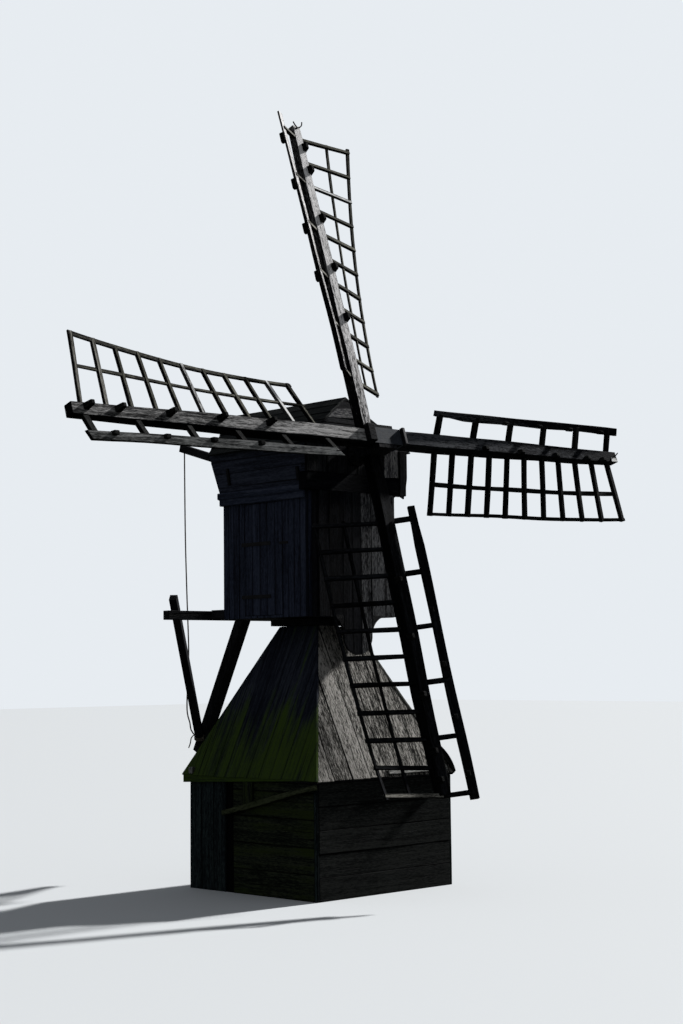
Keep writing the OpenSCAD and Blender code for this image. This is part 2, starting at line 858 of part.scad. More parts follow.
base_left_wall();
base_front_wall();
base_right_wall();
base_rear_wall();
base_corner_posts();
cross_sills();
hollow_post();
eave_boards();
skirt_left();
skirt_front();
skirt_right();
skirt_rear();
neck_collar();
wall_brace();
floor_sills();
house_floor();
house_corner_posts();
house_left_wall();
house_right_wall();
house_front_wall();
house_rear_wall();
side_hatch();
hatch_ironwork();
belt_moulding();
left_upper_boards();
right_upper_boards();
rear_upper_boards();
weather_beam();
breast_boards();
front_gable();
rear_gable();
front_casing();
left_roof();
right_roof();
tail_cross_beam();
tail_pole();
tail_braces();
brake_lever();
brake_rope();
neck_bearing();
tail_bearing();
windshaft();
head_block();
outer_stock();
inner_stock();
hub_cover();
stock_cleats();
left_lattice();
right_lattice();
top_lattice();
bottom_lattice();
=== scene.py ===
import math

import bpy
import numpy as np
from mathutils import Matrix, Vector


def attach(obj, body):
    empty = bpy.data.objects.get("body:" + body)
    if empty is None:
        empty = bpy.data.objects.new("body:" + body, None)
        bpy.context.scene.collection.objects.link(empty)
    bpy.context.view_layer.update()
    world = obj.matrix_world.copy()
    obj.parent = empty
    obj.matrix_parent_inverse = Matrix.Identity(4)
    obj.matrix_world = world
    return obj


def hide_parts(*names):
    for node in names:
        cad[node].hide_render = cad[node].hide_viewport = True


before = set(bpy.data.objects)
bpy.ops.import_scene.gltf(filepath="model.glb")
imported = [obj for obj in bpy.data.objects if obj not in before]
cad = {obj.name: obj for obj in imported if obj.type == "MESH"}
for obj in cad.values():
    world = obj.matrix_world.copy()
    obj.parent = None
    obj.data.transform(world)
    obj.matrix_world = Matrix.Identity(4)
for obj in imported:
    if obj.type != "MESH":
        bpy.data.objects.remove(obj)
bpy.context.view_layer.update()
bpy.ops.object.select_all(action="DESELECT")

link = bpy.context.scene.collection.objects.link
shift = Matrix.Translation


def spin(angle, axis):
    return Matrix.Rotation(angle, 4, axis)


# Camera: it stands 2.1 m above the mill's ground, off its front left corner, and looks
# slightly upwards, with the long side of the film upright.
EYE = (-11.8235, -13.037, 2.0974)
HEADING, UPWARD, ROLL = math.radians(-43.02), math.radians(94.92), -0.0106
camera = bpy.data.objects.new("camera", bpy.data.cameras.new("camera"))
link(camera)
bpy.context.scene.camera = camera
bpy.context.scene.view_settings.view_transform = "Standard"
camera.data.sensor_width = 36
camera.data.lens = 63.31
camera.matrix_world = (
    shift(EYE)
    @ spin(HEADING, "Z")
    @ spin(UPWARD, "X")
    @ spin(ROLL, "Z")
)


# Brake rope: a laid hemp rope, 14 mm thick, that hangs from under the end of the brake
# lever and is hitched round the left tail brace, with its short end left loose.
class Flow:
    """A shader socket that takes part in sums."""

    def __init__(self, tree, socket=None):
        self.tree, self.socket = tree, socket

    def node(self, kind, inputs=None, out=0, stops=None, **settings):
        made = self.tree.nodes.new("ShaderNode" + kind)
        for name, value in settings.items():
            setattr(made, name, value)
        if stops:
            marks = made.color_ramp.elements
            while len(marks) < len(stops):
                marks.new(0.5)
            for mark, (at, tint) in zip(marks, stops):
                mark.position = at
                mark.color = (*tint, 1)
        for name, value in (inputs or {}).items():
            if isinstance(value, Flow):
                self.tree.links.new(value.socket, made.inputs[name])
            else:
                made.inputs[name].default_value = value
        return Flow(self.tree, made.outputs[out] if made.outputs else None)

    def sum(self, operation, other, swap=False):
        pair = (other, self) if swap else (self, other)
        return self.node("Math", {0: pair[0], 1: pair[1]}, operation=operation)

    def __add__(self, other):
        return self.sum("ADD", other)

    def __sub__(self, other):
        return self.sum("SUBTRACT", other)

    def __rsub__(self, other):
        return self.sum("SUBTRACT", other, swap=True)

    def __mul__(self, other):
        return self.sum("MULTIPLY", other)

    def limit(self, low, high):
        """0 below low, 1 above high."""
        return self.node(
            "MapRange", {"Value": self, "From Min": low, "From Max": high}, clamp=True
        )

    def layer(self, name):
        """What board() kept at each point."""
        return self.node("Attribute", out=1, attribute_name=name)

    def part(self, index):
        return self.node("SeparateXYZ", {0: self}, out=index)

    def stretch(self, x, y, z):
        return self.node("VectorMath", {0: self, 1: (x, y, z)}, operation="MULTIPLY")

    def noise(self, scale, detail=4, roughness=0.55, distortion=0.0):
        return self.node(
            "TexNoise",
            {"Vector": self, "Scale": scale, "Detail": detail, "Roughness": roughness,
             "Distortion": distortion},
        )

    def mix(self, a, b):
        """Colour a where this is 0, colour b where it is 1."""
        a, b = ((*c, 1) if isinstance(c, tuple) else c for c in (a, b))
        return self.node("Mix", {0: self, 6: a, 7: b}, out=2, data_type="RGBA")


def blank_material(name):
    material = bpy.data.materials.new(name)
    material.use_nodes = True
    material.node_tree.nodes.clear()
    return material, Flow(material.node_tree)


def finish_material(start, colour, roughness, height, depth, metallic=0.0, specular=0.35):
    bump = start.node("Bump", {"Height": height, "Strength": 0.9, "Distance": depth})
    shader = start.node(
        "BsdfPrincipled",
        {"Base Color": colour, "Roughness": roughness, "Metallic": metallic,
         "Normal": bump, "Specular IOR Level": specular},
    )
    start.node("OutputMaterial", {"Surface": shader})


hemp, start = blank_material("laid_hemp")
spot = start.node("TexCoord", out=3)
lay = spot.stretch(1, 1, 0.45).node(
    "TexWave", {"Scale": 26, "Distortion": 1.2, "Detail": 1}, bands_direction="DIAGONAL"
)
fluff = spot.noise(240, 3)
finish_material(
    start,
    (lay * 0.6 + fluff * 0.4).limit(0.2, 0.8).mix((0.03, 0.026, 0.02), (0.16, 0.14, 0.105)),
    0.92,
    lay + fluff * 0.4,
    0.003,
)

ROPE_D = 0.014
rope_marks = [
    (-0.3, 1.7, 4.332), (-0.3, 1.69, 3.5), (-0.3, 1.668, 2.9), (-0.3, 1.64, 2.3),
    (-0.3, 1.655, 2.0), (-0.3, 1.67, 1.77), (-0.28, 1.69, 1.64), (-0.232, 1.71, 1.54),
    (-0.185, 1.752, 1.467), (-0.112, 1.776, 1.401),
]


def smooth_route(marks, spacing):
    """The marks joined by one smooth line, as a list of points."""
    marks = [Vector(m) for m in marks]
    line = []
    for i in range(len(marks) - 1):
        a, b, c = marks[max(i - 1, 0)], marks[i], marks[i + 1]
        d = marks[min(i + 2, len(marks) - 1)]
        pieces = max(2, round((c - b).length / spacing))
        for j in range(pieces):
            t = j / pieces
            line.append(0.5 * (2 * b + (c - a) * t + (2 * a - 5 * b + 4 * c - d) * t * t
                               + (3 * b - a - 3 * c + d) * t ** 3))
    return line + [marks[-1]]


def rod(name, line, thick, finish, body):
    """A round rod, wire or rope along a line of points, as a curve."""
    curve = bpy.data.curves.new(name, "CURVE")
    curve.dimensions = "3D"
    curve.bevel_depth = thick / 2
    curve.bevel_resolution = 3
    curve.use_fill_caps = True
    spline = curve.splines.new("POLY")
    spline.points.add(len(line) - 1)
    for point, at in zip(spline.points, line):
        point.co = (*at, 1)
    curve.materials.append(finish)
    piece = bpy.data.objects.new(name, curve)
    link(piece)
    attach(piece, body)
    return piece


rope_line = smooth_route(rope_marks, 0.042)
rope = rod("brake_rope_line", rope_line, ROPE_D, hemp, "house")
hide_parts("brake_rope")

brace_foot, brace_top = Vector((-0.04, 1.777, 1.335)), Vector((-0.89, 1.078, 2.62))
brace_way = (brace_top - brace_foot).normalized()
brace_out = Vector((-0.6352, 0.7724, 0))
brace_up = brace_way.cross(brace_out).normalized()
HITCH_D, HITCH_TURNS, HITCH_STEPS, STEPS_A_TURN = 0.012, 3, 40, 13.3
HITCH_FOOT, HITCH_RISE = 0.06, 0.014
BRACE_HALF, ROUNDED, ROUND_R = 0.046, 0.25, 0.05
loose_end = [(-0.012, 0.02, -0.012), (-0.02, 0.035, -0.035), (-0.022, 0.042, -0.075),
             (-0.03, 0.045, -0.105), (-0.042, 0.05, -0.135)]
hitch = []
for step in range(HITCH_STEPS + 1):
    turn = step / HITCH_STEPS * HITCH_TURNS * 2 * math.pi
    across = brace_out * math.cos(turn) + brace_up * math.sin(turn)
    square = max(abs(math.cos(turn)), abs(math.sin(turn)))
    radius = (1 - ROUNDED) * BRACE_HALF / square + ROUNDED * ROUND_R
    rise = HITCH_FOOT + HITCH_RISE * step / STEPS_A_TURN
    hitch.append(brace_foot + brace_way * rise + across * radius)
hitch += [hitch[-1] + Vector(step) for step in loose_end]
knot = rod("brake_rope_hitch", hitch, HITCH_D, hemp, "house")
rope_length = sum((b - a).length for a, b in zip(rope_line, rope_line[1:]))


# Studio: one strong narrow lamp high on the right of the mill, a very weak broad one on
# its front left, and an even surround. The floor and the surround are pale to the camera
# only, and throw little light on the mill.
FLOOR_UNSEEN, FLOOR_SEEN = (0.035, 0.038, 0.033), (0.62, 0.64, 0.65)
bpy.ops.mesh.primitive_plane_add(size=120, location=(10, 12, 0))
floor = bpy.context.object
floor.name = "floor"
floor_paint, start = blank_material("studio_floor")
floor_tint = start.node("LightPath").mix(FLOOR_UNSEEN, FLOOR_SEEN)
shader = start.node("BsdfPrincipled", {"Base Color": floor_tint, "Roughness": 0.9})
start.node("OutputMaterial", {"Surface": shader})
floor.data.materials.append(floor_paint)

world = bpy.data.worlds.new("studio")
bpy.context.scene.world = world
world.use_nodes = True
world.node_tree.nodes.clear()
start = Flow(world.node_tree)
seen = start.node("LightPath")
light = start.node("Background", {"Color": (0.72, 0.76, 0.82, 1), "Strength": 0.25})
back = start.node("Background", {"Color": (0.8, 0.84, 0.88, 1), "Strength": 1.0})
start.node("OutputWorld", {"Surface": start.node("MixShader", {0: seen, 1: light, 2: back})})

for name, way, strength, spread in [
    ("side_lamp", (1, -0.03, 0.68), 5.5, 3),
    ("front_lamp", (-0.3, -1, 0.5), 0.04, 80),
]:
    lamp = bpy.data.objects.new(name, bpy.data.lights.new(name, "SUN"))
    lamp.data.energy = strength
    lamp.data.angle = math.radians(spread)
    lamp.rotation_euler = Vector(way).to_track_quat("Z", "Y").to_euler()
    link(lamp)


# Base walls: tarred boards nailed upright and flat on a frame of corner posts. The left
# wall has broad mossy boards lying flat, a bare rear part and a shallow upright gap
# coloured near-black as painted shade.
def timber(name, deep, plain, pale, tones=0.3, rough=0.78, depth=0.004, coarse=1.0,
           joint=0.7, moss=0.0, moss_tint=(0.02, 0.032, 0.008), moss_fade=None, grey=0.0,
           grey_tint=(0.2, 0.2, 0.2), along=None, dull_sides=0.0, dark_end=0.0):
    """Wood with its grain along each board, or along an axis of the object."""
    material, start = blank_material(name)
    place = start.node("TexCoord", out=3)
    if along is None:
        run = start.layer("grain")
        plank = start.layer("plank")
        tone, rim = plank.part(2), plank.part(1) - plank.part(0).sum("ABSOLUTE", 0)
    else:
        turn = {"X": (0, 0, 0), "Y": (0, 0, -math.pi / 2), "Z": (0, math.pi / 2, 0)}[along]
        run = start.node("Mapping", {"Vector": place, "Rotation": turn})
        tone, rim = place.noise(1.5, 0), None
    fibre = run.stretch(6, 150, 150).noise(1, 4, 0.6)
    rough_grain = run.stretch(20, 115, 115).noise(1, 5, 0.7, 0.3)
    flow = run.stretch(1.6, 38, 38).noise(1, 7, 0.68, 0.5)
    broad = run.stretch(0.5, 9, 9).noise(1, 4, 0.6)
    crack = run.stretch(0.8, 60, 60).noise(1, 3, 0.5, 0.15).limit(0.63, 0.69)
    patch = place.noise(1.7, 5, 0.6)
    shade = (rough_grain - 0.5) * (4.2 * coarse) + (flow - 0.5) * 2.6 + (fibre - 0.5) * 1.2
    shade = shade + (tone - 0.5) * tones + (broad - 0.5) * 1.3 + (patch - 0.5) * 1.0 + 0.5
    # Painted shade: every face of a board but its front face is darkened by this share.
    if dull_sides:
        front = start.layer("sides").part(2)
        front = front.limit(0.25, 0.9)
        shade = shade - (1 - front) * dull_sides
    # Painted shade: the board darkens towards its +X end, the tip of a stock, or towards its
    # other end when the share is below 0.
    if dark_end:
        end = start.layer("sides").part(0)
        shade = shade - (end + 0.2) * dark_end
    colour = shade.node(
        "ValToRGB", {"Fac": shade}, stops=[(0.0, deep), (0.5, plain), (1.0, pale)])
    if grey:
        worn = (place.noise(2.6, 6, 0.7) + (flow - 0.5) * 0.8).limit(0.62 - 0.3 * grey, 0.8)
        # The grey patches stay on the front faces, off the sides that are darkened as painted
        # shade.
        if dull_sides:
            worn = worn * front
        colour = (worn * grey).mix(colour, grey_tint)
    if moss:
        damp = place.noise(1.3, 4, 0.6) + (broad - 0.5) * 1.3 + (fibre - 0.5) * 0.3
        if moss_fade:
            damp = damp + (0.5 - place.part(2).limit(*moss_fade)) * 0.5
        damp = damp.limit(0.62 - 0.3 * moss, 0.8 - 0.2 * moss) * (shade * 0.7 + 0.5)
        colour = (damp * min(1, moss * 1.2)).mix(colour, moss_tint)
    colour = (crack * 0.85).mix(colour, tuple(0.3 * c for c in deep))
    height = ((flow - 0.5) * 1.0 + (rough_grain - 0.5) * (0.9 * coarse) + (fibre - 0.5) * 0.4
              - crack * 0.9)
    if rim:
        seam = 1 - (rim + (flow - 0.5) * 0.012).limit(0.003, 0.01)
        colour = (seam * joint).mix(colour, tuple(0.35 * c for c in deep))
    finish_material(start, colour, (flow - 0.5) * 0.3 + rough, height, depth, specular=0.03)
    return material


bpy.ops.mesh.primitive_cube_add(size=1)
sawn = bpy.context.object
sawn.name = "sawn_board"
SAWN_HALF = np.array([0.5, 0.1, 0.02])
SAWN_EDGE, SAWN_CUTS, BOARD_GAP = 0.004, 14, 0.0015
sawn.scale = tuple(2 * SAWN_HALF)
bpy.ops.object.transform_apply(location=False, rotation=False, scale=True)
bpy.ops.object.mode_set(mode="EDIT")
bpy.ops.mesh.select_all(action="SELECT")
bpy.ops.mesh.bevel(offset=SAWN_EDGE, segments=2, affect="EDGES")
for cut in range(1, SAWN_CUTS):
    bpy.ops.mesh.select_all(action="SELECT")
    bpy.ops.mesh.bisect(plane_co=(cut / SAWN_CUTS - 0.5, 0, 0), plane_no=(1, 0, 0))
bpy.ops.object.mode_set(mode="OBJECT")
sawn_mesh = sawn.data
bpy.data.objects.remove(sawn)
sawn_points = np.empty(3 * len(sawn_mesh.vertices))
sawn_mesh.vertices.foreach_get("co", sawn_points)
sawn_points = sawn_points.reshape(-1, 3)
board_count = 0


def square_to(centre, along, out):
    """Place whose X runs along a board and whose Z points out of its face."""
    x = Vector(along).normalized()
    z = Vector(out)
    z = (z - x * z.dot(x)).normalized()
    y = z.cross(x)
    place = Matrix((x, y, z)).transposed().to_4x4()
    place.translation = centre
    return place


def board(size, place, finish, edge=0.004, waver=0.0012, shape=None):
    """A copy of the sawn board at its own size and place, slightly uneven. Its points
    keep where they lie in the grain, across the plank and on which sides, for timber()."""
    global board_count
    board_count += 1
    dice = np.random.default_rng(board_count)
    half = np.array(size) / 2
    edge = min(edge, 0.4 * half.min())
    inner = SAWN_HALF - SAWN_EDGE
    reach = np.abs(sawn_points)
    points = np.where(
        reach <= inner + 1e-6,
        reach * (half - edge) / inner,
        half - (SAWN_HALF - reach) * edge / SAWN_EDGE,
    ) * np.sign(sawn_points)
    grain, flat_y = points + dice.uniform(-40, 40, 3), points[:, 1].copy()
    sides = np.sign(points) * (np.abs(points) > half - 0.2 * edge)
    sides[:, 0] = points[:, 0] / half[0]
    ripple = points[:, :1] * dice.uniform(1.5, 6, (1, 6)) + dice.uniform(0, 6.3, (1, 6))
    sway = np.sin(ripple)
    points[:, 1] += waver * (sway[:, 0] + sway[:, 1]) / 2 * 1.2
    points[:, 2] += waver * (sway[:, 2] + sway[:, 3]) / 2
    points[:, 1] *= 1 + waver * 0.6 * sway[:, 4] / max(half[1], 0.01)
    if shape is not None:
        points = shape(points)
    turn = np.array(place)
    points = points @ turn[:3, :3].T + turn[:3, 3]
    plank = np.stack(
        [flat_y, np.full_like(flat_y, half[1]), np.full_like(flat_y, dice.uniform())], 1)
    mesh = sawn_mesh.copy()
    mesh.vertices.foreach_set("co", points.ravel())
    for label, rows in (("grain", grain), ("plank", plank), ("sides", sides)):
        mesh.attributes.new(label, "FLOAT_VECTOR", "POINT").data.foreach_set(
            "vector", rows.ravel())
    mesh.materials.append(finish)
    part = bpy.data.objects.new("board", mesh)
    link(part)
    return part


def boarding(centre, along, out, length, width, thick, count, finish, uneven=0.0,
             proud=0.0015, edge=0.004):
    """Boards side by side, their outer faces in one plane through the centre."""
    along, out = Vector(along).normalized(), Vector(out).normalized()
    across = out.cross(along)
    step = width / count
    dice = np.random.default_rng(board_count + 7)
    parts = []
    for i in range(count):
        middle = (Vector(centre) + across * ((i + 0.5) * step - width / 2)
                  + out * (dice.uniform(-proud, proud) - thick / 2)
                  + along * dice.uniform(-uneven, uneven))
        parts.append(board(
            (length, step - BOARD_GAP, thick), square_to(middle, along, out), finish, edge))
    return parts


def only(*pieces):
    """Selects just these pieces, with the first one active."""
    bpy.ops.object.select_all(action="DESELECT")
    for piece in pieces:
        piece.select_set(True)
    bpy.context.view_layer.objects.active = pieces[0]


def join(name, parts, body, slot, *nodes):
    """The parts as one piece that rides on a body and stands for CAD nodes."""
    only(*parts)
    if len(parts) > 1:
        bpy.ops.object.join()
    piece = parts[0]
    piece.name = piece.data.name = name
    piece.select_set(False)
    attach(piece, body)
    if nodes:
        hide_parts(*nodes)
    return piece


def saw(piece, point, outward):
    """Cuts off what lies beyond a plane and closes the cut."""
    only(piece)
    bpy.ops.object.mode_set(mode="EDIT")
    bpy.ops.mesh.select_all(action="SELECT")
    bpy.ops.mesh.bisect(plane_co=point, plane_no=outward, use_fill=True, clear_outer=True)
    bpy.ops.object.mode_set(mode="OBJECT")
    piece.select_set(False)


BASE_TURN = spin(math.radians(2), "Z")
WALL_X, WALL_Y0, WALL_Y1, WALL_H, WALL_T = 0.905, -0.905, 0.85, 1.052, 0.028


def on_base(point):
    return BASE_TURN @ Vector(point)


mossy_tar = timber(
    "mossy_tarred_boards", (0.004, 0.0062, 0.004), (0.0162, 0.0203, 0.0142),
    (0.0426, 0.0507, 0.0304), moss=0.7, moss_tint=(0.0284, 0.0405, 0.0102))
bare_tar = timber(
    "bare_tarred_boards", (0.004, 0.0062, 0.0081), (0.0121, 0.0181, 0.0203),
    (0.0345, 0.0486, 0.0486), moss=0.3, moss_tint=(0.0162, 0.0284, 0.0181))
black_tar = timber(
    "front_tarred_boards", (0.0035, 0.0035, 0.0035), (0.0096, 0.0114, 0.0105),
    (0.0246, 0.0264, 0.0246), tones=0.5)
X, Y, Z = Vector((1, 0, 0)), Vector((0, 1, 0)), Vector((0, 0, 1))
left, front, right, rear = on_base(-X), on_base(-Y), on_base(X), on_base(Y)

parts = boarding(
    on_base((-WALL_X, 0.59, WALL_H / 2)), Z, left, WALL_H, 0.52, WALL_T, 3, bare_tar)
GAP_DEPTH = 0.014
# Painted shade: the shallow gap is coloured near-black for the shade inside it.
painted_gap_shade = timber(
    "painted_gap_shade", (0.001, 0.001, 0.001), (0.002, 0.002, 0.003), (0.005, 0.005, 0.006))
parts += boarding(
    on_base((-WALL_X + GAP_DEPTH, 0.2765, WALL_H / 2)), Z, left, WALL_H, 0.103,
    WALL_T - GAP_DEPTH, 1, painted_gap_shade)
low = 0
for height in (0.236, 0.242, 0.248, 0.236, 0.088):
    parts += boarding(on_base((-WALL_X, -0.32, low + height / 2)), rear, left, 1.085,
                      height, WALL_T, 1, mossy_tar, edge=0.006)
    low += height
parts += boarding(
    on_base((-WALL_X, -0.884, WALL_H / 2)), Z, left, WALL_H, 0.041, WALL_T, 1, bare_tar,
    edge=0.006)
join("left_wall_boards", parts, "base", "tarred_boards", "base_left_wall")

MID_Y, BETWEEN = (WALL_Y0 + WALL_Y1) / 2, 2 * WALL_X - 0.058
parts = boarding(
    on_base((WALL_X, MID_Y, WALL_H / 2)), Z, right, WALL_H, WALL_Y1 - WALL_Y0, WALL_T, 9,
    bare_tar)
join("right_wall_boards", parts, "base", "tarred_boards", "base_right_wall")
parts = boarding(
    on_base((0, WALL_Y0, WALL_H / 2)), right, front, BETWEEN, WALL_H, WALL_T, 5, black_tar,
    edge=0.006)
join("front_wall_boards", parts, "base", "tarred_boards", "base_front_wall")
parts = boarding(
    on_base((0, WALL_Y1, WALL_H / 2)), Z, rear, WALL_H, BETWEEN, WALL_T, 9, bare_tar)
join("rear_wall_boards", parts, "base", "tarred_boards", "base_rear_wall")

FRAME_TONES = (0.003, 0.003, 0.0035), (0.009, 0.009, 0.011), (0.024, 0.024, 0.026)
dark_frame = timber("dark_frame_wood", *FRAME_TONES)
upright_frame = timber("upright_frame_wood", *FRAME_TONES, along="Z")
level_frame = timber("level_frame_wood", *FRAME_TONES, along="X")


def dress(node, finish, edge=0.004):
    """A CAD solid keeps its shape and gets its finish and eased edges."""
    solid = cad[node]
    solid.data.materials.clear()
    solid.data.materials.append(finish)
    weld = solid.modifiers.new("weld", "WELD")
    weld.merge_threshold = 0.00002
    ease = solid.modifiers.new("ease", "BEVEL")
    ease.width = edge
    ease.segments = 2
    ease.limit_method = "ANGLE"
    ease.angle_limit = math.radians(35)


for node in ("base_corner_posts", "hollow_post"):
    dress(node, upright_frame)
for node in ("cross_sills", "neck_collar"):
    dress(node, level_frame)

RAIL_L, RAIL_T, RAIL_DIP = 1.29, 0.045, math.radians(12.5)
rail_run = on_base((0, math.cos(RAIL_DIP), -math.sin(RAIL_DIP)))
rail_mid = on_base((-WALL_X - RAIL_T / 2, -0.92 + RAIL_L / 2 * math.cos(RAIL_DIP),
                    1.02 - RAIL_L / 2 * math.sin(RAIL_DIP)))
rail_wood = timber(
    "wall_rail_wood", (0.0088, 0.0105, 0.007), (0.0351, 0.0421, 0.0211),
    (0.0737, 0.0842, 0.0456), moss=0.4)
rail = board(
    (RAIL_L, 0.056, RAIL_T), square_to(rail_mid, rail_run, left), rail_wood, 0.008, 0.004)
join("wall_rail", [rail], "base", "frame_timber", "wall_brace")
plank_at = square_to(on_base((-WALL_X - 0.0101, 0.003, 0.93)), Z, left)
plank = board((0.225, 0.14, 0.02), plank_at, mossy_tar, 0.005)
join("short_plank", [plank], "base", "tarred_boards")


# Skirt: four steep panels of wide boards nailed up the slope, cut along the hips. The
# front is bare weathered wood and the left is green with moss; under them runs a flat
# frame of eave boards.
SKIRT_X, NECK_X, SKIRT_Z, NECK_Z, SKIRT_T = 0.936, 0.255, 1.08, 2.5, 0.024
SLOPE_L = math.hypot(SKIRT_X - NECK_X, NECK_Z - SKIRT_Z)
LEAN = (SKIRT_X - NECK_X) / SLOPE_L
RISE = (NECK_Z - SKIRT_Z) / SLOPE_L


def skirt_panel(name, node, heading, count, finish, inset, uneven=0.004, proud=0.002):
    """Boards up the slope of the -X side, turned to a heading and cut at both hips."""
    turn = BASE_TURN @ spin(math.radians(heading), "Z")
    out = turn @ Vector((-RISE, 0, LEAN))
    along = turn @ Vector((LEAN, 0, RISE))
    middle = turn @ Vector((-(SKIRT_X + NECK_X) / 2, 0, (SKIRT_Z + NECK_Z) / 2))
    parts = boarding(middle - out * proud - along * uneven, along, out, SLOPE_L,
                     2 * SKIRT_X, SKIRT_T - proud, count, finish, uneven, proud, edge=0.003)
    piece = join(name, parts, "base", "weathered_boards", node)
    for side in (-1, 1):
        hip = turn @ Vector((-SKIRT_X, side * (SKIRT_X - inset), SKIRT_Z))
        saw(piece, hip, turn @ Vector((0, side * RISE, LEAN)))
    saw(piece, (0, 0, NECK_Z), (0, 0, 1))


bare_boards = timber(
    "bare_weathered_boards", (0.01, 0.01, 0.009), (0.125, 0.119, 0.107),
    (0.42, 0.4, 0.37), tones=0.7, rough=0.88, depth=0.009, coarse=1.4, joint=1.0,
    grey=0.15, grey_tint=(0.17, 0.165, 0.155))
green_boards = timber(
    "mossy_skirt_boards", (0.0059, 0.0078, 0.0138), (0.0175, 0.0206, 0.0313),
    (0.0391, 0.0451, 0.0608), tones=0.15, depth=0.002, coarse=0.5, joint=0.35, moss=0.8,
    moss_tint=(0.047, 0.0803, 0.0117), moss_fade=(1.2, 2.05))
plain_boards = timber(
    "rear_skirt_boards", (0.01, 0.011, 0.01), (0.04, 0.041, 0.038),
    (0.11, 0.11, 0.1), tones=0.5, moss=0.25, moss_tint=(0.026, 0.036, 0.012))
skirt_panel("skirt_left_boards", "skirt_left", 0, 12, green_boards, 0)
skirt_panel("skirt_right_boards", "skirt_right", 180, 12, plain_boards, 0)
skirt_panel("skirt_front_boards", "skirt_front", 90, 8, bare_boards, 0.0266, 0.007, 0.004)
skirt_panel("skirt_rear_boards", "skirt_rear", -90, 12, plain_boards, 0.0266)

dress("eave_boards", level_frame, 0.006)

# A pale batten along the front eave, nailed over the ends of the boards.
BATTEN_UP, BATTEN_OFF = 0.045, 0.008
turn = BASE_TURN @ spin(math.radians(90), "Z")
batten_at = turn @ Vector((-SKIRT_X + BATTEN_UP * LEAN, -0.42, SKIRT_Z + BATTEN_UP * RISE))
batten_out = turn @ Vector((-RISE, 0, LEAN))
pale_batten = timber(
    "pale_batten_wood", (0.05, 0.05, 0.045), (0.19, 0.19, 0.175), (0.36, 0.36, 0.34),
    grey=0.3, grey_tint=(0.3, 0.3, 0.3))
batten = board(
    (0.82, 0.062, 0.014), square_to(batten_at + batten_out * BATTEN_OFF, right, batten_out),
    pale_batten, 0.003, 0.002)
join("eave_batten", [batten], "base", "weathered_boards")

# A mossy board under the left eave, sagging to the rear, and a bleached board end that
# sticks up beside the left rear corner.
SAG_L = 1.84


def sagging(points):
    """The lower edge of the board drops towards its rear end."""
    share = np.clip(points[:, 0] / SAG_L + 0.5, 0, 1)
    points[:, 1] = np.where(points[:, 1] > 0, 0.075 * share - 0.03, -0.035)
    return points


sag_at = square_to(on_base((-SKIRT_X + 0.012, 0, SKIRT_Z - 0.03)), rear, left)
sagged = board((SAG_L, 0.07, 0.014), sag_at, green_boards, 0.003, 0.002, sagging)
join("left_eave_board", [sagged], "base", "weathered_boards")
stump = board((0.062, 0.055, 0.045), square_to(on_base((-0.921, 0.794, 1.121)), Z, left),
              pale_batten, 0.016, 0.014)
join("eave_stump", [stump], "base", "weathered_boards")

# A strip nailed over the front right hip by the eave, warped outwards by the weather.
hip = BASE_TURN @ spin(math.radians(180), "Z")
hip_out = hip @ Vector((-RISE, RISE, 2 * LEAN))


def on_hip(rise):
    inward = rise * LEAN / RISE
    return hip @ Vector((-SKIRT_X + inward, SKIRT_X - inward, SKIRT_Z + rise))


def warped(points):
    """The outer face of the strip bulges towards its middle."""
    points[:, 2] += (points[:, 2] > 0) * 0.034 * (1 - (points[:, 0] / 0.18) ** 2)
    return points


hip_foot, hip_head = on_hip(-0.005), on_hip(0.3)
hip_at = square_to((hip_foot + hip_head) / 2, hip_head - hip_foot, hip_out)
strip = board((0.35, 0.1, 0.014), hip_at, plain_boards, 0.003, 0.003, warped)
join("hip_strip", [strip], "base", "weathered_boards")


# House: narrow tarred boards nailed upright on corner posts, with a hatch of the same
# boards on two long strap hinges in the left wall.
HOUSE_X, HOUSE_F, HOUSE_R, FLOOR_Z, WALL_TOP = 0.574, -0.487, 0.731, 2.573, 3.82
BOARD_T = 0.025
tar = timber(
    "tarred_house_boards", (0.0109, 0.013, 0.0216), (0.027, 0.0334, 0.0584),
    (0.0498, 0.0605, 0.0971), tones=0.25, rough=0.62, depth=0.0022, coarse=0.7, grey=0.08,
    grey_tint=(0.0648, 0.0648, 0.0757))
level_tar = timber(
    "tarred_level_boards", (0.013, 0.0152, 0.0238), (0.028, 0.0325, 0.0518),
    (0.0518, 0.0605, 0.0886), tones=0.25, rough=0.62, depth=0.0022, coarse=0.7, grey=0.1,
    grey_tint=(0.0648, 0.0648, 0.0734))
band_tar = timber(
    "tarred_band", (0.0173, 0.0216, 0.0368), (0.0346, 0.0432, 0.0734),
    (0.0648, 0.0757, 0.1123), rough=0.6, depth=0.002, coarse=0.6, along="Y")
wall_mid = (FLOOR_Z + WALL_TOP) / 2
wall_h = WALL_TOP - FLOOR_Z
HATCH_Y0, HATCH_Y1, HATCH_Z0, HATCH_Z1 = -0.152, 0.403, 2.6, 3.68
gap = 0.004


def wall_strip(y0, y1, z0, z1, count):
    """Upright boards of the left wall between two depths and two heights."""
    return boarding((-HOUSE_X, (y0 + y1) / 2, (z0 + z1) / 2), Z, -X, z1 - z0, y1 - y0,
                    BOARD_T, count, tar)


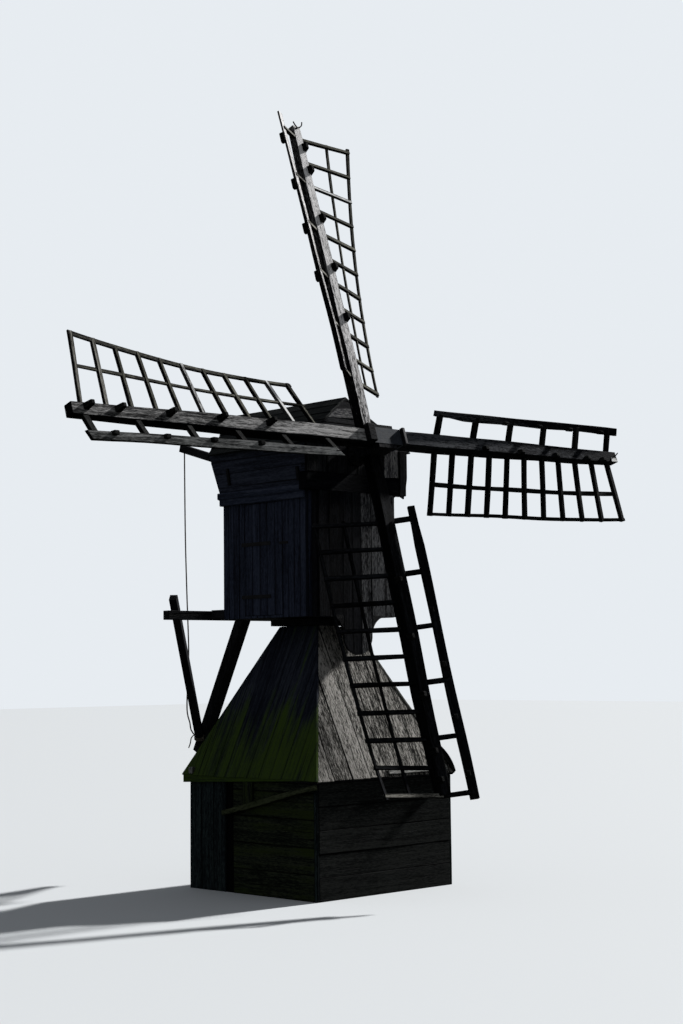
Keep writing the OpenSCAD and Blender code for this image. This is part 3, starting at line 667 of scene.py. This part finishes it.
parts = wall_strip(HOUSE_F, HATCH_Y0 - gap, FLOOR_Z, WALL_TOP, 4)
parts += wall_strip(HATCH_Y1 + gap, HOUSE_R, FLOOR_Z, WALL_TOP, 4)
parts += wall_strip(HATCH_Y0 - gap, HATCH_Y1 + gap, FLOOR_Z, HATCH_Z0 - gap, 6)
parts += wall_strip(HATCH_Y0 - gap, HATCH_Y1 + gap, HATCH_Z1 + gap, WALL_TOP, 6)
join("house_left_boards", parts, "house", "tarred_boards", "house_left_wall")
parts = wall_strip(HATCH_Y0, HATCH_Y1, HATCH_Z0, HATCH_Z1, 5)
join("hatch_boards", parts, "house", "tarred_boards", "side_hatch")

parts = boarding(
    (HOUSE_X, (HOUSE_F + HOUSE_R) / 2, wall_mid), Z, X, wall_h, HOUSE_R - HOUSE_F, BOARD_T,
    13, tar)
join("house_right_boards", parts, "house", "tarred_boards", "house_right_wall")
in_x = HOUSE_X - BOARD_T
parts = boarding((0, HOUSE_F, wall_mid), Z, -Y, wall_h, 2 * in_x, BOARD_T, 10, tar)
join("house_front_boards", parts, "house", "tarred_boards", "house_front_wall")
SILL = 0.1
low_x = in_x - SILL
parts = boarding((0, HOUSE_R, wall_mid), Z, Y, wall_h, 2 * low_x, BOARD_T, 8, tar)
for side in (-1, 1):
    parts += boarding((side * (in_x + low_x) / 2, HOUSE_R, wall_mid + SILL / 2), Z, Y,
                      wall_h - SILL, in_x - low_x, BOARD_T, 1, tar)
join("house_rear_boards", parts, "house", "tarred_boards", "house_rear_wall")

for node in ("house_corner_posts", "tail_pole", "tail_braces"):
    dress(node, upright_frame)
for node in ("house_floor", "neck_bearing", "tail_bearing", "tail_cross_beam"):
    dress(node, level_frame)
long_frame = timber("long_frame_wood", *FRAME_TONES, along="Y")
for node in ("floor_sills", "brake_lever", "windshaft"):
    dress(node, long_frame)

# Belt moulding: a stepped band, mitred round three sides under the flared upper part.
dress("belt_moulding", band_tar, 0.01)
cad["belt_moulding"].modifiers["ease"].segments = 3

# Upper boards: wide tarred boards lying flat and lapped on flared ribs, with two short
# upright battens on each side.
UPPER_FOOT, UPPER_HEAD, UPPER_Z1, SIDE_LEAN = 0.6, 0.66, 4.2, 0.158
UPPER_REAR, UPPER_FRONT, REAR_Y = 0.9, -0.572, 0.757
up_way = Vector((-(UPPER_HEAD - UPPER_FOOT), 0, UPPER_Z1 - WALL_TOP)).normalized()
up_out = Vector((-up_way.z, 0, up_way.x))

for side, node in ((-1, "left_upper_boards"), (1, "right_upper_boards")):
    flip = Vector((-side, 1, 1))
    parts = []
    low = 0
    for i, tall in enumerate((0.047, 0.138, 0.125, 0.075)):
        at = Vector((-UPPER_FOOT, 0, WALL_TOP)) + up_way * (low + tall / 2)
        at -= up_out * (0.0135 + 0.004 * (i % 2))
        front_end = HOUSE_F if i < 2 else UPPER_FRONT
        at.y = (front_end + UPPER_REAR) / 2
        flat = Vector((at.x * flip.x, at.y, at.z))
        face = Vector((up_out.x * flip.x, 0, up_out.z))
        parts.append(board((UPPER_REAR - front_end, tall + 0.004, 0.024),
                           square_to(flat, Y, face), level_tar, 0.005))
        low += tall
    corner_at = square_to((side * 0.612, -0.5295, 3.965), Y, (side, 0, -SIDE_LEAN))
    parts.append(board((0.084, 0.07, 0.022), corner_at, level_tar))
    way = (up_way.x * flip.x, 0, up_way.z)
    for y, z0, z1 in ((0.586, 3.89, 4.055), (-0.43, 3.855, 3.99)):
        at = Vector((-UPPER_FOOT, 0, WALL_TOP)) + up_way * ((z0 + z1) / 2 - WALL_TOP)
        at += up_out * 0.004
        parts.append(board((z1 - z0, 0.036, 0.012),
                           square_to((at.x * flip.x, y, at.z), way, face), dark_frame, 0.003))
    piece = join(("left", "right")[side > 0] + "_flare_boards", parts, "house",
                 "tarred_boards", node)
    saw(piece, (0, REAR_Y, WALL_TOP), (0, 1, -0.25))
    saw(piece, (0, 0, UPPER_Z1), (0, 0, 1))
rear_way = Vector((0, 0.095, 0.38)).normalized()
rear_out = Vector((0, rear_way.z, -rear_way.y))
parts = []
low = 0
LEVER_X0, LEVER_X1, REAR_HALF = -0.3315, -0.2685, 0.632
for row, tall in enumerate((0.133, 0.13, 0.1287)):
    for x0, x1 in ((-REAR_HALF, LEVER_X0), (LEVER_X0, LEVER_X1), (LEVER_X1, REAR_HALF)):
        if x0 == LEVER_X0 and row == 2:  # the brake lever comes out here
            continue
        at = (Vector(((x0 + x1) / 2, REAR_Y, WALL_TOP)) + rear_way * (low + tall / 2)
              - rear_out * 0.012)
        parts.append(board(
            (x1 - x0, tall - 0.001, 0.023), square_to(at, X, rear_out), level_tar))
    low += tall
piece = join("rear_flare_boards", parts, "house", "tarred_boards", "rear_upper_boards")
for side in (-1, 1):
    saw(piece, (side * 0.576, 0, WALL_TOP), (side, 0, -SIDE_LEAN))


# Front casing: upright boards nailed over a box on the front wall, dark left of the middle
# and pale right of it; the middle ones end in a sawn round tongue.
CASING_Y, CASING_X, CASING_TOP, CASING_T = -0.587, 0.5, 3.76, 0.022
TONGUE_R, TONGUE_Z = 0.186, 2.396
FLARE = FLOOR_Z - TONGUE_Z
pale_casing_finish = timber(
    "pale_casing_boards", (0.0048, 0.0048, 0.0054), (0.0832, 0.0848, 0.0896),
    (0.1984, 0.1984, 0.2048), rough=0.8, depth=0.005, coarse=1.4, grey=0.15,
    grey_tint=(0.048, 0.048, 0.0512))
pale_breast_finish = timber(
    "pale_breast_boards", (0.0104, 0.0104, 0.013), (0.0806, 0.0806, 0.0871),
    (0.26, 0.2548, 0.247), rough=0.8, grey=0.15, grey_tint=(0.091, 0.091, 0.0936))
dark_tar = timber(
    "dark_casing_boards", (0.003, 0.003, 0.004), (0.0085, 0.009, 0.0115),
    (0.019, 0.02, 0.024), tones=0.5, rough=0.7, depth=0.003)


def casing_board(x0, x1, low):
    size = (CASING_TOP - low, x1 - x0 - BOARD_GAP, CASING_T)
    at = ((x0 + x1) / 2, CASING_Y + CASING_T / 2, (CASING_TOP + low) / 2)
    return board(size, square_to(at, Z, -Y), pale_casing_finish if x0 > 0 else dark_tar, 0.003)


TONGUE_FOOT, TONGUE_CUTS = 2.19, 16
tongue = join("tongue", [casing_board(x0, x1, TONGUE_FOOT) for x0, x1 in (
    (-TONGUE_R, -0.07), (-0.07, 0.045), (0.045, TONGUE_R))], "house", "tarred_boards")
for step in range(1, TONGUE_CUTS):
    turn = math.pi + step / TONGUE_CUTS * math.pi
    out = Vector((math.cos(turn), 0, math.sin(turn)))
    saw(tongue, Vector((0, 0, TONGUE_Z)) + out * TONGUE_R, out)
parts = [tongue]
reach = TONGUE_R + FLARE
for x0, x1, low in (
        (-CASING_X, -reach, FLOOR_Z), (-reach, -TONGUE_R, TONGUE_Z),
        (TONGUE_R, reach, TONGUE_Z), (reach, CASING_X, FLOOR_Z)):
    parts.append(casing_board(x0, x1, low))
for side in (-1, 1):
    parts += boarding(
        (side * CASING_X, (CASING_Y + CASING_T + HOUSE_F) / 2, (FLOOR_Z + CASING_TOP) / 2),
        Z, X * side, CASING_TOP - FLOOR_Z, HOUSE_F - CASING_Y - CASING_T, CASING_T, 1,
        pale_casing_finish if side > 0 else dark_tar)
casing = join("casing_boards", parts, "house", "tarred_boards", "front_casing")


def bore(piece, ends, radius):
    """Takes round holes out of a piece, each along the line between two points."""
    cutters = []
    for a, b in ends:
        a, b = Vector(a), Vector(b)
        bpy.ops.mesh.primitive_cylinder_add(
            vertices=64, radius=radius, depth=(b - a).length, location=(a + b) / 2,
            rotation=(b - a).to_track_quat("Z", "Y").to_euler())
        cutters.append(bpy.context.object)
    only(*cutters)
    if len(cutters) > 1:
        bpy.ops.object.join()
    cutter = cutters[0]
    hole = piece.modifiers.new("hole", "BOOLEAN")
    hole.object = cutter
    hole.operation = "DIFFERENCE"
    hole.solver = "FAST"
    bpy.context.view_layer.objects.active = piece
    bpy.ops.object.modifier_apply(modifier="hole")
    bpy.data.objects.remove(cutter)


bore(casing, [((x, CASING_Y - 0.1, TONGUE_Z), (x, CASING_Y + 0.09, TONGUE_Z))
              for x in (-reach, reach)], FLARE)

# Weather beam and breast: a heavy beam across the front, with upright boards above it
# that are cut round the windshaft, and rotten board ends at the right corner.
BEAM_Y, BEAM_X, BREAST_Z = -0.597, 0.66, 3.93
breast_wood = timber(
    "breast_board_wood", (0.003, 0.003, 0.004), (0.0075, 0.008, 0.0095),
    (0.023, 0.024, 0.027), tones=0.6, rough=0.85, grey=0.1, grey_tint=(0.03, 0.03, 0.032))
# Painted shade: the weather beam is coloured near-black for the shade it lies in.
shaded_beam_wood = timber(
    "weather_beam_wood", (0.001, 0.001, 0.002), (0.0025, 0.003, 0.005),
    (0.006, 0.0065, 0.009), along="X")
dress("weather_beam", shaded_beam_wood, 0.008)
SHAFT_TILT, HUB_Y, HUB_Z, SHAFT_HOLE_R = 17.2, -0.811, 4.207, 0.125
SIN_T, COS_T = math.sin(math.radians(SHAFT_TILT)), math.cos(math.radians(SHAFT_TILT))
SHAFT_WAY = Vector((0, -COS_T, SIN_T))
HUB = Vector((0, HUB_Y, HUB_Z))
shaft_hole = [(HUB + SHAFT_WAY * 0.4, HUB - SHAFT_WAY * 0.9)]
parts = boarding(
    (0, BEAM_Y, (BREAST_Z + UPPER_Z1) / 2), Z, -Y, UPPER_Z1 - BREAST_Z, 2 * BEAM_X, 0.024,
    10, breast_wood, proud=0.002)
breast = join("breast_boarding", parts, "house", "weathered_boards", "breast_boards")
bore(breast, shaft_hole, SHAFT_HOLE_R)
for x, wide, low, taper_in, finish in (
        (0.607, 0.1, 3.745, 0.05, dark_tar), (0.44, 0.19, 3.925, 0, pale_breast_finish)):

    def torn(points):
        """The lower end of the board has rotted to an uneven edge, and to one side."""
        share = np.clip((-points[:, 0] - 0.05) / 0.2, 0, 1)
        points[:, 0] += share * 0.02 * np.sin(points[:, 1] * 90 + low * 9)
        points[:, 1] += share * 0.006 * np.sin(points[:, 0] * 60)
        if taper_in:
            points[:, 1] += (points[:, 1] < 0) * share * (taper_in + 0.008 * np.sin(
                points[:, 0] * 150))
        return points

    tall = UPPER_Z1 - low
    cover_at = square_to((x, BEAM_Y - 0.0075, UPPER_Z1 - tall / 2), Z, -Y)
    cover = board((tall, wide, 0.014), cover_at, finish, 0.003, 0.003, torn)
    join(f"breast_cover_{int(x * 1000)}", [cover], "house", "weathered_boards")

# Gables: level boards between the roof sides; the front one leans back with the sails.
ROOF_X, ROOF_RISE, EAVE_Z, ROOF_T, GABLE_N = 0.72, 0.51, 4.2, 0.022, -0.209
roof_l = math.hypot(ROOF_X, ROOF_RISE)
roof_out = Vector((ROOF_RISE, 0, ROOF_X)) / roof_l


def under_roof(piece):
    """Trims a gable to the underside of the roof."""
    for side in (-1, 1):
        out = Vector((side * roof_out.x, 0, roof_out.z))
        saw(piece, Vector((0, 0, EAVE_Z + ROOF_RISE)) - out * ROOF_T, out)
    saw(piece, (0, 0, EAVE_Z), (0, 0, -1))
    return piece


lean_up = Vector((0, SIN_T, COS_T))
ROOF_F, ROOF_R = HUB_Y + ((EAVE_Z - HUB_Z) * SIN_T - GABLE_N) / COS_T, 0.803
gable_foot = Vector((0, ROOF_F, EAVE_Z))
parts = []
low = -0.01
for i, tall in enumerate((0.115, 0.125, 0.12, 0.13, 0.12)):
    middle = gable_foot + lean_up * (low + tall / 2) - SHAFT_WAY * (0.012 + 0.002 * (i % 2))
    parts.append(board(
        (1.32, tall - 0.002, 0.022), square_to(middle, X, SHAFT_WAY), breast_wood, 0.004,
        0.002))
    low += tall
pale_board_at = gable_foot + lean_up * 0.342 - SHAFT_WAY * 0.003 + Vector((-0.13, 0, 0))
parts.append(board(
    (0.36, 0.108, 0.014), square_to(pale_board_at, (1, 0, 0.03), SHAFT_WAY), pale_breast_finish, 0.003,
    0.003))
gable = under_roof(join(
    "front_gable_boards", parts, "house", "weathered_boards", "front_gable"))
bore(gable, shaft_hole, SHAFT_HOLE_R)
GABLE_Y, ROW = 0.841, 0.118
parts = []
for i in range(5):
    at = square_to((0, GABLE_Y, EAVE_Z - 0.01 + ROW * (i + 0.5)), X, Y)
    parts.append(board((1.272, ROW - 0.002, 0.023), at, level_tar))
under_roof(join("rear_gable_boards", parts, "house", "tarred_boards", "rear_gable"))

# Roof: long boards parallel to the ridge, each lapped over the next one below and sawn
# off in line with the gables.
roof_tar = timber(
    "tarred_roof_boards", (0.005, 0.006, 0.007), (0.012, 0.0145, 0.0145),
    (0.028, 0.031, 0.03), tones=0.6, rough=0.7, depth=0.003, moss=0.2,
    moss_tint=(0.025, 0.03, 0.018))
ROOF_ROW, LAP_TURN, REAR_CUT = 0.147, 0.045, (0, 0.51, -0.5)
for side, node in ((-1, "left_roof"), (1, "right_roof")):
    down = Vector((side * ROOF_X, 0, -ROOF_RISE)) / roof_l
    out = Vector((side * roof_out.x, 0, roof_out.z))
    parts = []
    for i in range(6):
        middle = Vector((0, 0.35, EAVE_Z + ROOF_RISE)) + down * (ROOF_ROW * (i + 0.5))
        middle -= out * 0.0125
        place = square_to(middle, Y, out) @ spin(-side * LAP_TURN, "X")
        parts.append(board((2.6, 0.158, 0.015), place, roof_tar, 0.003, 0.002))
    piece = join(node + "_boards", parts, "house", "tarred_boards", node)
    saw(piece, (0, ROOF_F, EAVE_Z), SHAFT_WAY)
    saw(piece, (0, ROOF_R, EAVE_Z), REAR_CUT)
    saw(piece, (0, 0, EAVE_Z + ROOF_RISE), (-side, 0, 0))
    saw(piece, (0, 0, EAVE_Z - ROOF_T), (0, 0, -1))


# Sail cross: two tapered stocks crossed in a head block on the windshaft. Each arm has
# eleven bars that twist from root to tip, joined by a hem lath and a middle lath behind
# the stock and by a broad board lath on stubs ahead of it.
SAILS = shift(HUB) @ spin(math.radians(90 - SHAFT_TILT), "X")
STOCK_W, STOCK_D, TIP_W, TIP_D = 0.136, 0.16, 0.116, 0.098
BAR_OUT, BAR_IN, BARS, TAPER_FROM = 3.372, 0.746, 11, 1.4
PITCH = (BAR_OUT - BAR_IN) / (BARS - 1)


def weather(t):
    return math.radians(25.2 * t + 22.7 * t * (1 - t))


def hem_reach(t):
    return 0.706 - 0.024 * t - 0.062 * t * (1 - t)


def middle_reach(t):
    return 0.41 - 0.015 * t


def lath_ahead(t):
    return 0.269 - 0.027 * t, 0.122 + 0.038 * t


def bar_radius(i):
    return BAR_OUT - i * PITCH


def taper(length, extra_w, extra_d, slim):
    """Thins a stock that starts at the hub from TAPER_FROM out to its tip. The slim share
    of its back is also hewn away near the hub."""
    def shape(points):
        radius = points[:, 0] + length / 2
        share = np.clip((radius - TAPER_FROM) / (length - TAPER_FROM), 0, 1)
        points[:, 1] *= 1 - share * (1 - (TIP_W + extra_w) / (STOCK_W + extra_w))
        points[:, 2] *= 1 - share * (1 - (TIP_D + extra_d) / (STOCK_D + extra_d))
        near = 1 - np.clip(radius / 2.4, 0, 1) ** 2
        points[:, 2] *= np.where(points[:, 2] < 0, 1 - slim * near, 1)
        return points
    return shape


def along_arm(outer, inner, centre, turn, ends=None):
    """Bends a lath to the line centre(t) and twists it by turn(t) on its way in."""
    def shape(points):
        if ends is not None:
            points = ends(points)
        bent = np.empty_like(points)
        for row, (x, y, z) in enumerate(points):
            radius = (outer + inner) / 2 + x
            t = (BAR_OUT - radius) / (BAR_OUT - BAR_IN)
            cy, cz = centre(t)
            c, s = math.cos(turn(t)), math.sin(turn(t))
            bent[row] = (radius, cy + y * c - z * s, cz + y * s + z * c)
        return bent
    return shape


def sail_wood(name, deep, plain, pale, **looks):
    return timber(name, deep, plain, pale, tones=0.5, rough=0.82, depth=0.005, **looks)


def bevelled_ends(points):
    """The left board lath: its outer end is sawn off slanting, its inner end is split
    to a point along the lower edge."""
    share = points[:, 1] / 0.08 + 0.5
    points[:, 0] -= (points[:, 0] > 1.2) * share * 0.06
    points[:, 0] += (points[:, 0] < -1.25) * (1 - share) * 0.13
    return points


def worn_ends(points):
    """The right board lath: half of its width has broken away for 0.17 m by the hub."""
    near = points[:, 0] < -1.13
    points[:, 1] = np.where(near, points[:, 1] * 0.78 + 0.008, points[:, 1])
    return points


def thin_tip(points):
    """The top board lath: it has weathered thin towards its outer end."""
    share = np.clip((points[:, 0] + 1.0) / 2.2, 0, 1)
    points[:, 2] *= 1.2 - 0.75 * share
    return points


def rounded_top(points):
    """The bottom board lath: its upper end is rounded above a notch."""
    end = points[:, 0] < -1.2
    points[:, 1] *= np.where(end, 0.8, 1)
    return points


lit_wood = sail_wood(
    "silver_sail_wood", (0.003, 0.003, 0.004), (0.155, 0.153, 0.15), (0.5, 0.49, 0.48),
    coarse=0.7, grey=0.25, grey_tint=(0.3, 0.3, 0.3), dull_sides=0.75, dark_end=0.26)
lath_wood = sail_wood(
    "silver_lath_wood", (0.004, 0.004, 0.004), (0.19, 0.192, 0.188), (0.5, 0.5, 0.49),
    coarse=0.5, dull_sides=0.8, dark_end=0.12)
# Bleached wood on the top arm, made paler still as painted light for the sun the arm catches.
top_wood = sail_wood(
    "bleached_and_lit_sail_wood", (0.005, 0.005, 0.006), (0.5, 0.49, 0.485), (0.97, 0.95, 0.94),
    coarse=1.4, grey=0.35, grey_tint=(0.85, 0.82, 0.8), dull_sides=0.95, dark_end=-0.55)
# Painted shade: the right arm's stock and board lath get this dark copy of the sail wood, for
# the shade the arm lies in.
right_arm_shade_wood = sail_wood(
    "painted_shade_sail_wood", (0.0032, 0.0032, 0.0048), (0.016, 0.0176, 0.0216),
    (0.08, 0.0832, 0.0912), coarse=1.1, dull_sides=0.3, dark_end=0.6)
bar_wood = sail_wood(
    "sail_bar_wood", (0.003, 0.003, 0.003), (0.062, 0.061, 0.047), (0.19, 0.185, 0.15),
    coarse=0.8, dull_sides=0.8)
grey_bar = sail_wood(
    "grey_bar_wood", (0.01, 0.01, 0.01), (0.24, 0.23, 0.2), (0.42, 0.41, 0.37), coarse=0.5,
    dull_sides=0.6)
# Bleached wood, near-white on a few sail bars as a painted highlight.
pale_bar = sail_wood(
    "bleached_and_lit_bar_wood", (0.05, 0.05, 0.05), (0.8, 0.8, 0.78), (0.95, 0.95, 0.93),
    coarse=0.5, dull_sides=0.8)
# Dark wood for stubs, pegs and blocks; on the right arm's bars and stubs it is painted shade.
dark_and_shade_bar = sail_wood(
    "dark_and_shaded_bar_wood", (0.003, 0.003, 0.003), (0.009, 0.0095, 0.0095), (0.03, 0.03, 0.028))
# Painted shade: the whole bottom arm gets this near-black copy of the sail wood.
bottom_arm_shade_wood = sail_wood(
    "shaded_sail_wood", (0.002, 0.002, 0.002), (0.006, 0.0065, 0.008),
    (0.018, 0.019, 0.022))
EVEN_PEGS, PEG_W, PEG_SINK = (0.4, 1.4, 3.4, 5.5, 7.6), 0.055, 0.02
# For each arm: angle and lead on the shaft, length, extra width and depth of the stock and
# the share hewn off its back; board lath width, reach past the outermost and innermost
# bar, share of its stub's turn and end shape; hem and middle lath width; bar and stub
# thickness and depth; outward shift of the outermost and innermost bar at the stock, and
# of all at the hem; pegs by bar number, their height, length and side offset; finishes of
# the stock, board lath, bars and stubs; odd bars.
arms = {
    "right": (
        (1.13, 0.107, 3.534, 0.006, 0.002, 0), (0.078, 0.171, 0.067, 1, worn_ends),
        (0.034, 0.045), (0.044, 0.043), (0.052, 0.045), (0.03, 0, 0),
        (EVEN_PEGS, 0.05, 0.07, -0.046), (right_arm_shade_wood, right_arm_shade_wood, dark_and_shade_bar, dark_and_shade_bar), {}),
    "top": (
        (89.76, -0.078, 3.515, -0.018, -0.016, 0.4), (0.078, 0.187, 0.033, 1, thin_tip),
        (0.038, 0.028), (0.034, 0.032), (0.03, 0.04), (0.012, -0.03, 0),
        ((0.4, 1.4, 3.5, 5.6, 7.7), 0.06, 0.085, -0.042),
        (top_wood, top_wood, bar_wood, grey_bar), {2: pale_bar}),
    "left": (
        (180.55, 0.107, 3.546, 0, 0, 0), (0.08, 0.14, 0.075, -0.5, bevelled_ends),
        (0.044, 0.03), (0.034, 0.034), (0.055, 0.04), (0.045, 0.018, 0.012),
        ((-0.1, 1.1, 3.1, 5.2, 7.3), 0.115, 0.052, -0.018),
        (lit_wood, lath_wood, bar_wood, dark_and_shade_bar),
        {0: grey_bar, 1: grey_bar, 5: pale_bar, 9: pale_bar}),
    "bottom": (
        (268.69, -0.078, 3.4, 0.004, 0, 0.72), (0.085, 0.096, 0.095, 1, rounded_top),
        (0.03, 0.03), (0.038, 0.035), (0.043, 0.04), (0.03, 0.03, 0),
        (EVEN_PEGS, 0.05, 0.07, -0.046), (bottom_arm_shade_wood,) * 4, {0: grey_bar}),
}


def arm_place(name):
    turn, n = arms[name][0][:2]
    return SAILS @ spin(math.radians(turn), "Z") @ shift((0, 0, n))


stocks, pegs = {}, []
for name, arm in arms.items():
    stock, lath, (hem_w, middle_w), (bar_t, bar_d), (stub_t, stub_d) = arm[:5]
    (lean_out, lean_in, lean_hem), (stations, peg_out, peg_along, side), woods, odd = arm[5:]
    length, extra_w, extra_d, slim = stock[2:]
    lath_w, over_out, over_in, lath_share, ends = lath
    stock_finish, lath_finish, bar_finish, stub_finish = woods
    place = arm_place(name)
    size = (length, STOCK_W + extra_w, STOCK_D + extra_d)
    stocks[name] = board(
        size, place @ shift((length / 2, 0, 0)), stock_finish, 0.009, 0.003,
        taper(length, extra_w, extra_d, slim))
    parts = []
    for i in range(BARS):
        t = i / (BARS - 1)
        behind = hem_reach(t) + 0.02
        lean = lean_out + (lean_in - lean_out) * t
        rake = (lean_hem - lean) / behind
        swing = place @ shift((bar_radius(i) + lean, 0, 0)) @ spin(weather(t), "X")
        parts.append(board(
            (behind + 0.03, bar_t, bar_d),
            swing @ spin(rake - math.pi / 2, "Z") @ shift(((behind - 0.03) / 2, 0, 0)),
            odd.get(i, bar_finish), 0.003, 0.003))
        if i % 2 == 0:
            ahead, out = lath_ahead(t)
            swing = place @ shift((bar_radius(i) + lean, 0, 0)) @ (
                spin(math.atan2(out, ahead), "X"))
            reach = math.hypot(ahead, out) + 0.012
            parts.append(board((reach, stub_t, stub_d), swing @ shift(
                (0, reach / 2, 0)) @ spin(math.pi / 2, "Z"),
                stub_finish, 0.003, 0.003))
    for reach, wide, thick, over, back in (
            (hem_reach, hem_w, 0.02, 0.04, 0.03),
            (middle_reach, middle_w, 0.018, 0.025, 0.025)):
        outer, inner = BAR_OUT + over, BAR_IN - back

        def line(t, reach=reach):
            return -reach(t) * math.cos(weather(t)), -reach(t) * math.sin(weather(t))

        parts.append(board((outer - inner, wide, thick), place, bar_finish, 0.002, 0.003,
                           along_arm(outer, inner, line, weather)))
    outer, inner = BAR_OUT + over_out, BAR_IN - over_in

    def lath_turn(t):
        ahead, out = lath_ahead(t)
        return lath_share * math.atan2(out, ahead)

    parts.append(board(
        (outer - inner, lath_w, 0.042), place, lath_finish, 0.004, 0.004,
        along_arm(outer, inner, lath_ahead, lath_turn, ends)))
    for i in (0.5, 2.5, 4.4, 6.4):
        t = i / (BARS - 1)
        ahead, out = lath_ahead(t)
        at = place @ shift((bar_radius(i), ahead, out)) @ spin(lath_turn(t), "X")
        if name == "top":
            size, spot = (0.11, 0.05, 0.05), (0.02, 0.03, -0.02)
        else:
            size, spot = (0.056, 0.04, 0.06), (0, -lath_w * 0.3, 0.03)
        parts.append(board(size, at @ shift(spot), dark_and_shade_bar, 0.012))
    join(name + "_lattice_laths", parts, "sails", "sail_timber", name + "_lattice")

    def peg_shape(points):
        points[:, 1:] *= (1.16 - 0.36 * (points[:, :1] / peg_out + 0.5))
        return points

    for i in stations:
        share = max(0, (bar_radius(i) - TAPER_FROM) / (length - TAPER_FROM))
        foot = (STOCK_D + extra_d) / 2 - PEG_SINK - share * (STOCK_D - TIP_D) / 2
        peg_at = place @ shift((bar_radius(i), side, foot + peg_out / 2))
        pegs.append(board(
            (peg_out + PEG_SINK, PEG_W, peg_along), peg_at @ spin(-math.pi / 2, "Y"),
            dark_and_shade_bar, 0.01, 0.002, peg_shape))
for node, ends in (("outer_stock", ("right", "left")), ("inner_stock", ("top", "bottom"))):
    join(node + "_timber", [stocks[end] for end in ends], "sails", "sail_timber", node)
join("stock_pegs", pegs, "sails", "sail_timber", "stock_cleats")
dress("head_block", timber("head_block_wood", *FRAME_TONES, along="Z"), 0.006)


# Ironwork: forged strap hinges and a latch on the hatch, and a sheet of grey metal over
# the stocks at the hub, with a band round the right arm.
def metal(name, deep, plain, pale, rust, rust_tint, rough, metallic):
    material, start = blank_material(name)
    place = start.node("TexCoord", out=3)
    cloud = place.noise(9, 6, 0.65)
    grit = place.noise(90, 4, 0.7)
    scratch = place.stretch(40, 260, 40).noise(1, 3, 0.6)
    shade = (cloud - 0.5) * 1.5 + (grit - 0.5) * 0.7 + (scratch - 0.5) * 0.5 + 0.5
    colour = shade.node(
        "ValToRGB", {"Fac": shade}, stops=[(0.05, deep), (0.5, plain), (0.95, pale)])
    worn = (place.noise(5, 6, 0.7) + (grit - 0.5) * 0.4).limit(0.5, 0.68) * rust
    finish_material(start, worn.mix(colour, rust_tint), (cloud - 0.5) * 0.4 + worn * 0.3
                    + rough, cloud + grit * 0.4, 0.002, metallic, 0.12)
    return material


wrought = metal(
    "wrought_iron_strap", (0.005, 0.005, 0.006), (0.012, 0.012, 0.014), (0.03, 0.03, 0.033),
    0.35, (0.03, 0.017, 0.011), 0.6, 0.3)
# Painted shade: the grey sheet is coloured far darker than bare grey metal, for the shade it
# lies in.
shaded_grey_sheet = metal(
    "grey_cover_sheet", (0.009, 0.011, 0.014), (0.024, 0.029, 0.037), (0.065, 0.075, 0.092),
    0.12, (0.03, 0.026, 0.022), 0.7, 0.0)
dress("hatch_ironwork", wrought, 0.0015)
dress("hub_cover", shaded_grey_sheet, 0.0012)

# Fittings on the sails: two straps across the stocks beside the cover, two bent spikes at
# the tip of the top arm, and a hook beside a bleached scrap at the tip of the right arm.
COVER_FACE = 0.188
for name, x, wide, proud, finish in (
        ("left_hub_strap", -0.222, 0.1, 0.06, dark_frame),
        ("right_hub_strap", 0.222, 0.036, 0.045, wrought)):
    at = SAILS @ shift((x, 0.0045, COVER_FACE + proud / 2))
    join(name, [board((wide, 0.178, proud), at, finish, 0.012, 0.004)], "sails",
         "wrought_iron")
for name, arm, thick, marks in (
        ("top_spike", "top", 0.014, (
            (3.47, 0.0, 0.03), (3.49, 0.005, 0.05), (3.52, 0.03, 0.055),
            (3.548, 0.035, 0.05))),
        ("top_horn", "top", 0.013, (
            (3.47, 0.03, 0.03), (3.475, 0.01, 0.055), (3.485, -0.02, 0.07),
            (3.51, -0.045, 0.075), (3.545, -0.055, 0.078))),
        ("tip_hook", "right", 0.012, (
            (3.46, -0.01, 0.03), (3.475, 0.0, 0.06), (3.49, 0.012, 0.085),
            (3.505, 0.03, 0.1)))):
    line = smooth_route([arm_place(arm) @ Vector(mark) for mark in marks], 0.01)
    rod(name, line, thick, wrought, "sails")
scrap = board((0.1, 0.05, 0.008), arm_place("right") @ shift(
    (3.475, -0.035, 0.053)), pale_bar, 0.002, 0.004)
join("torn_scrap", [scrap], "sails", "sail_timber")
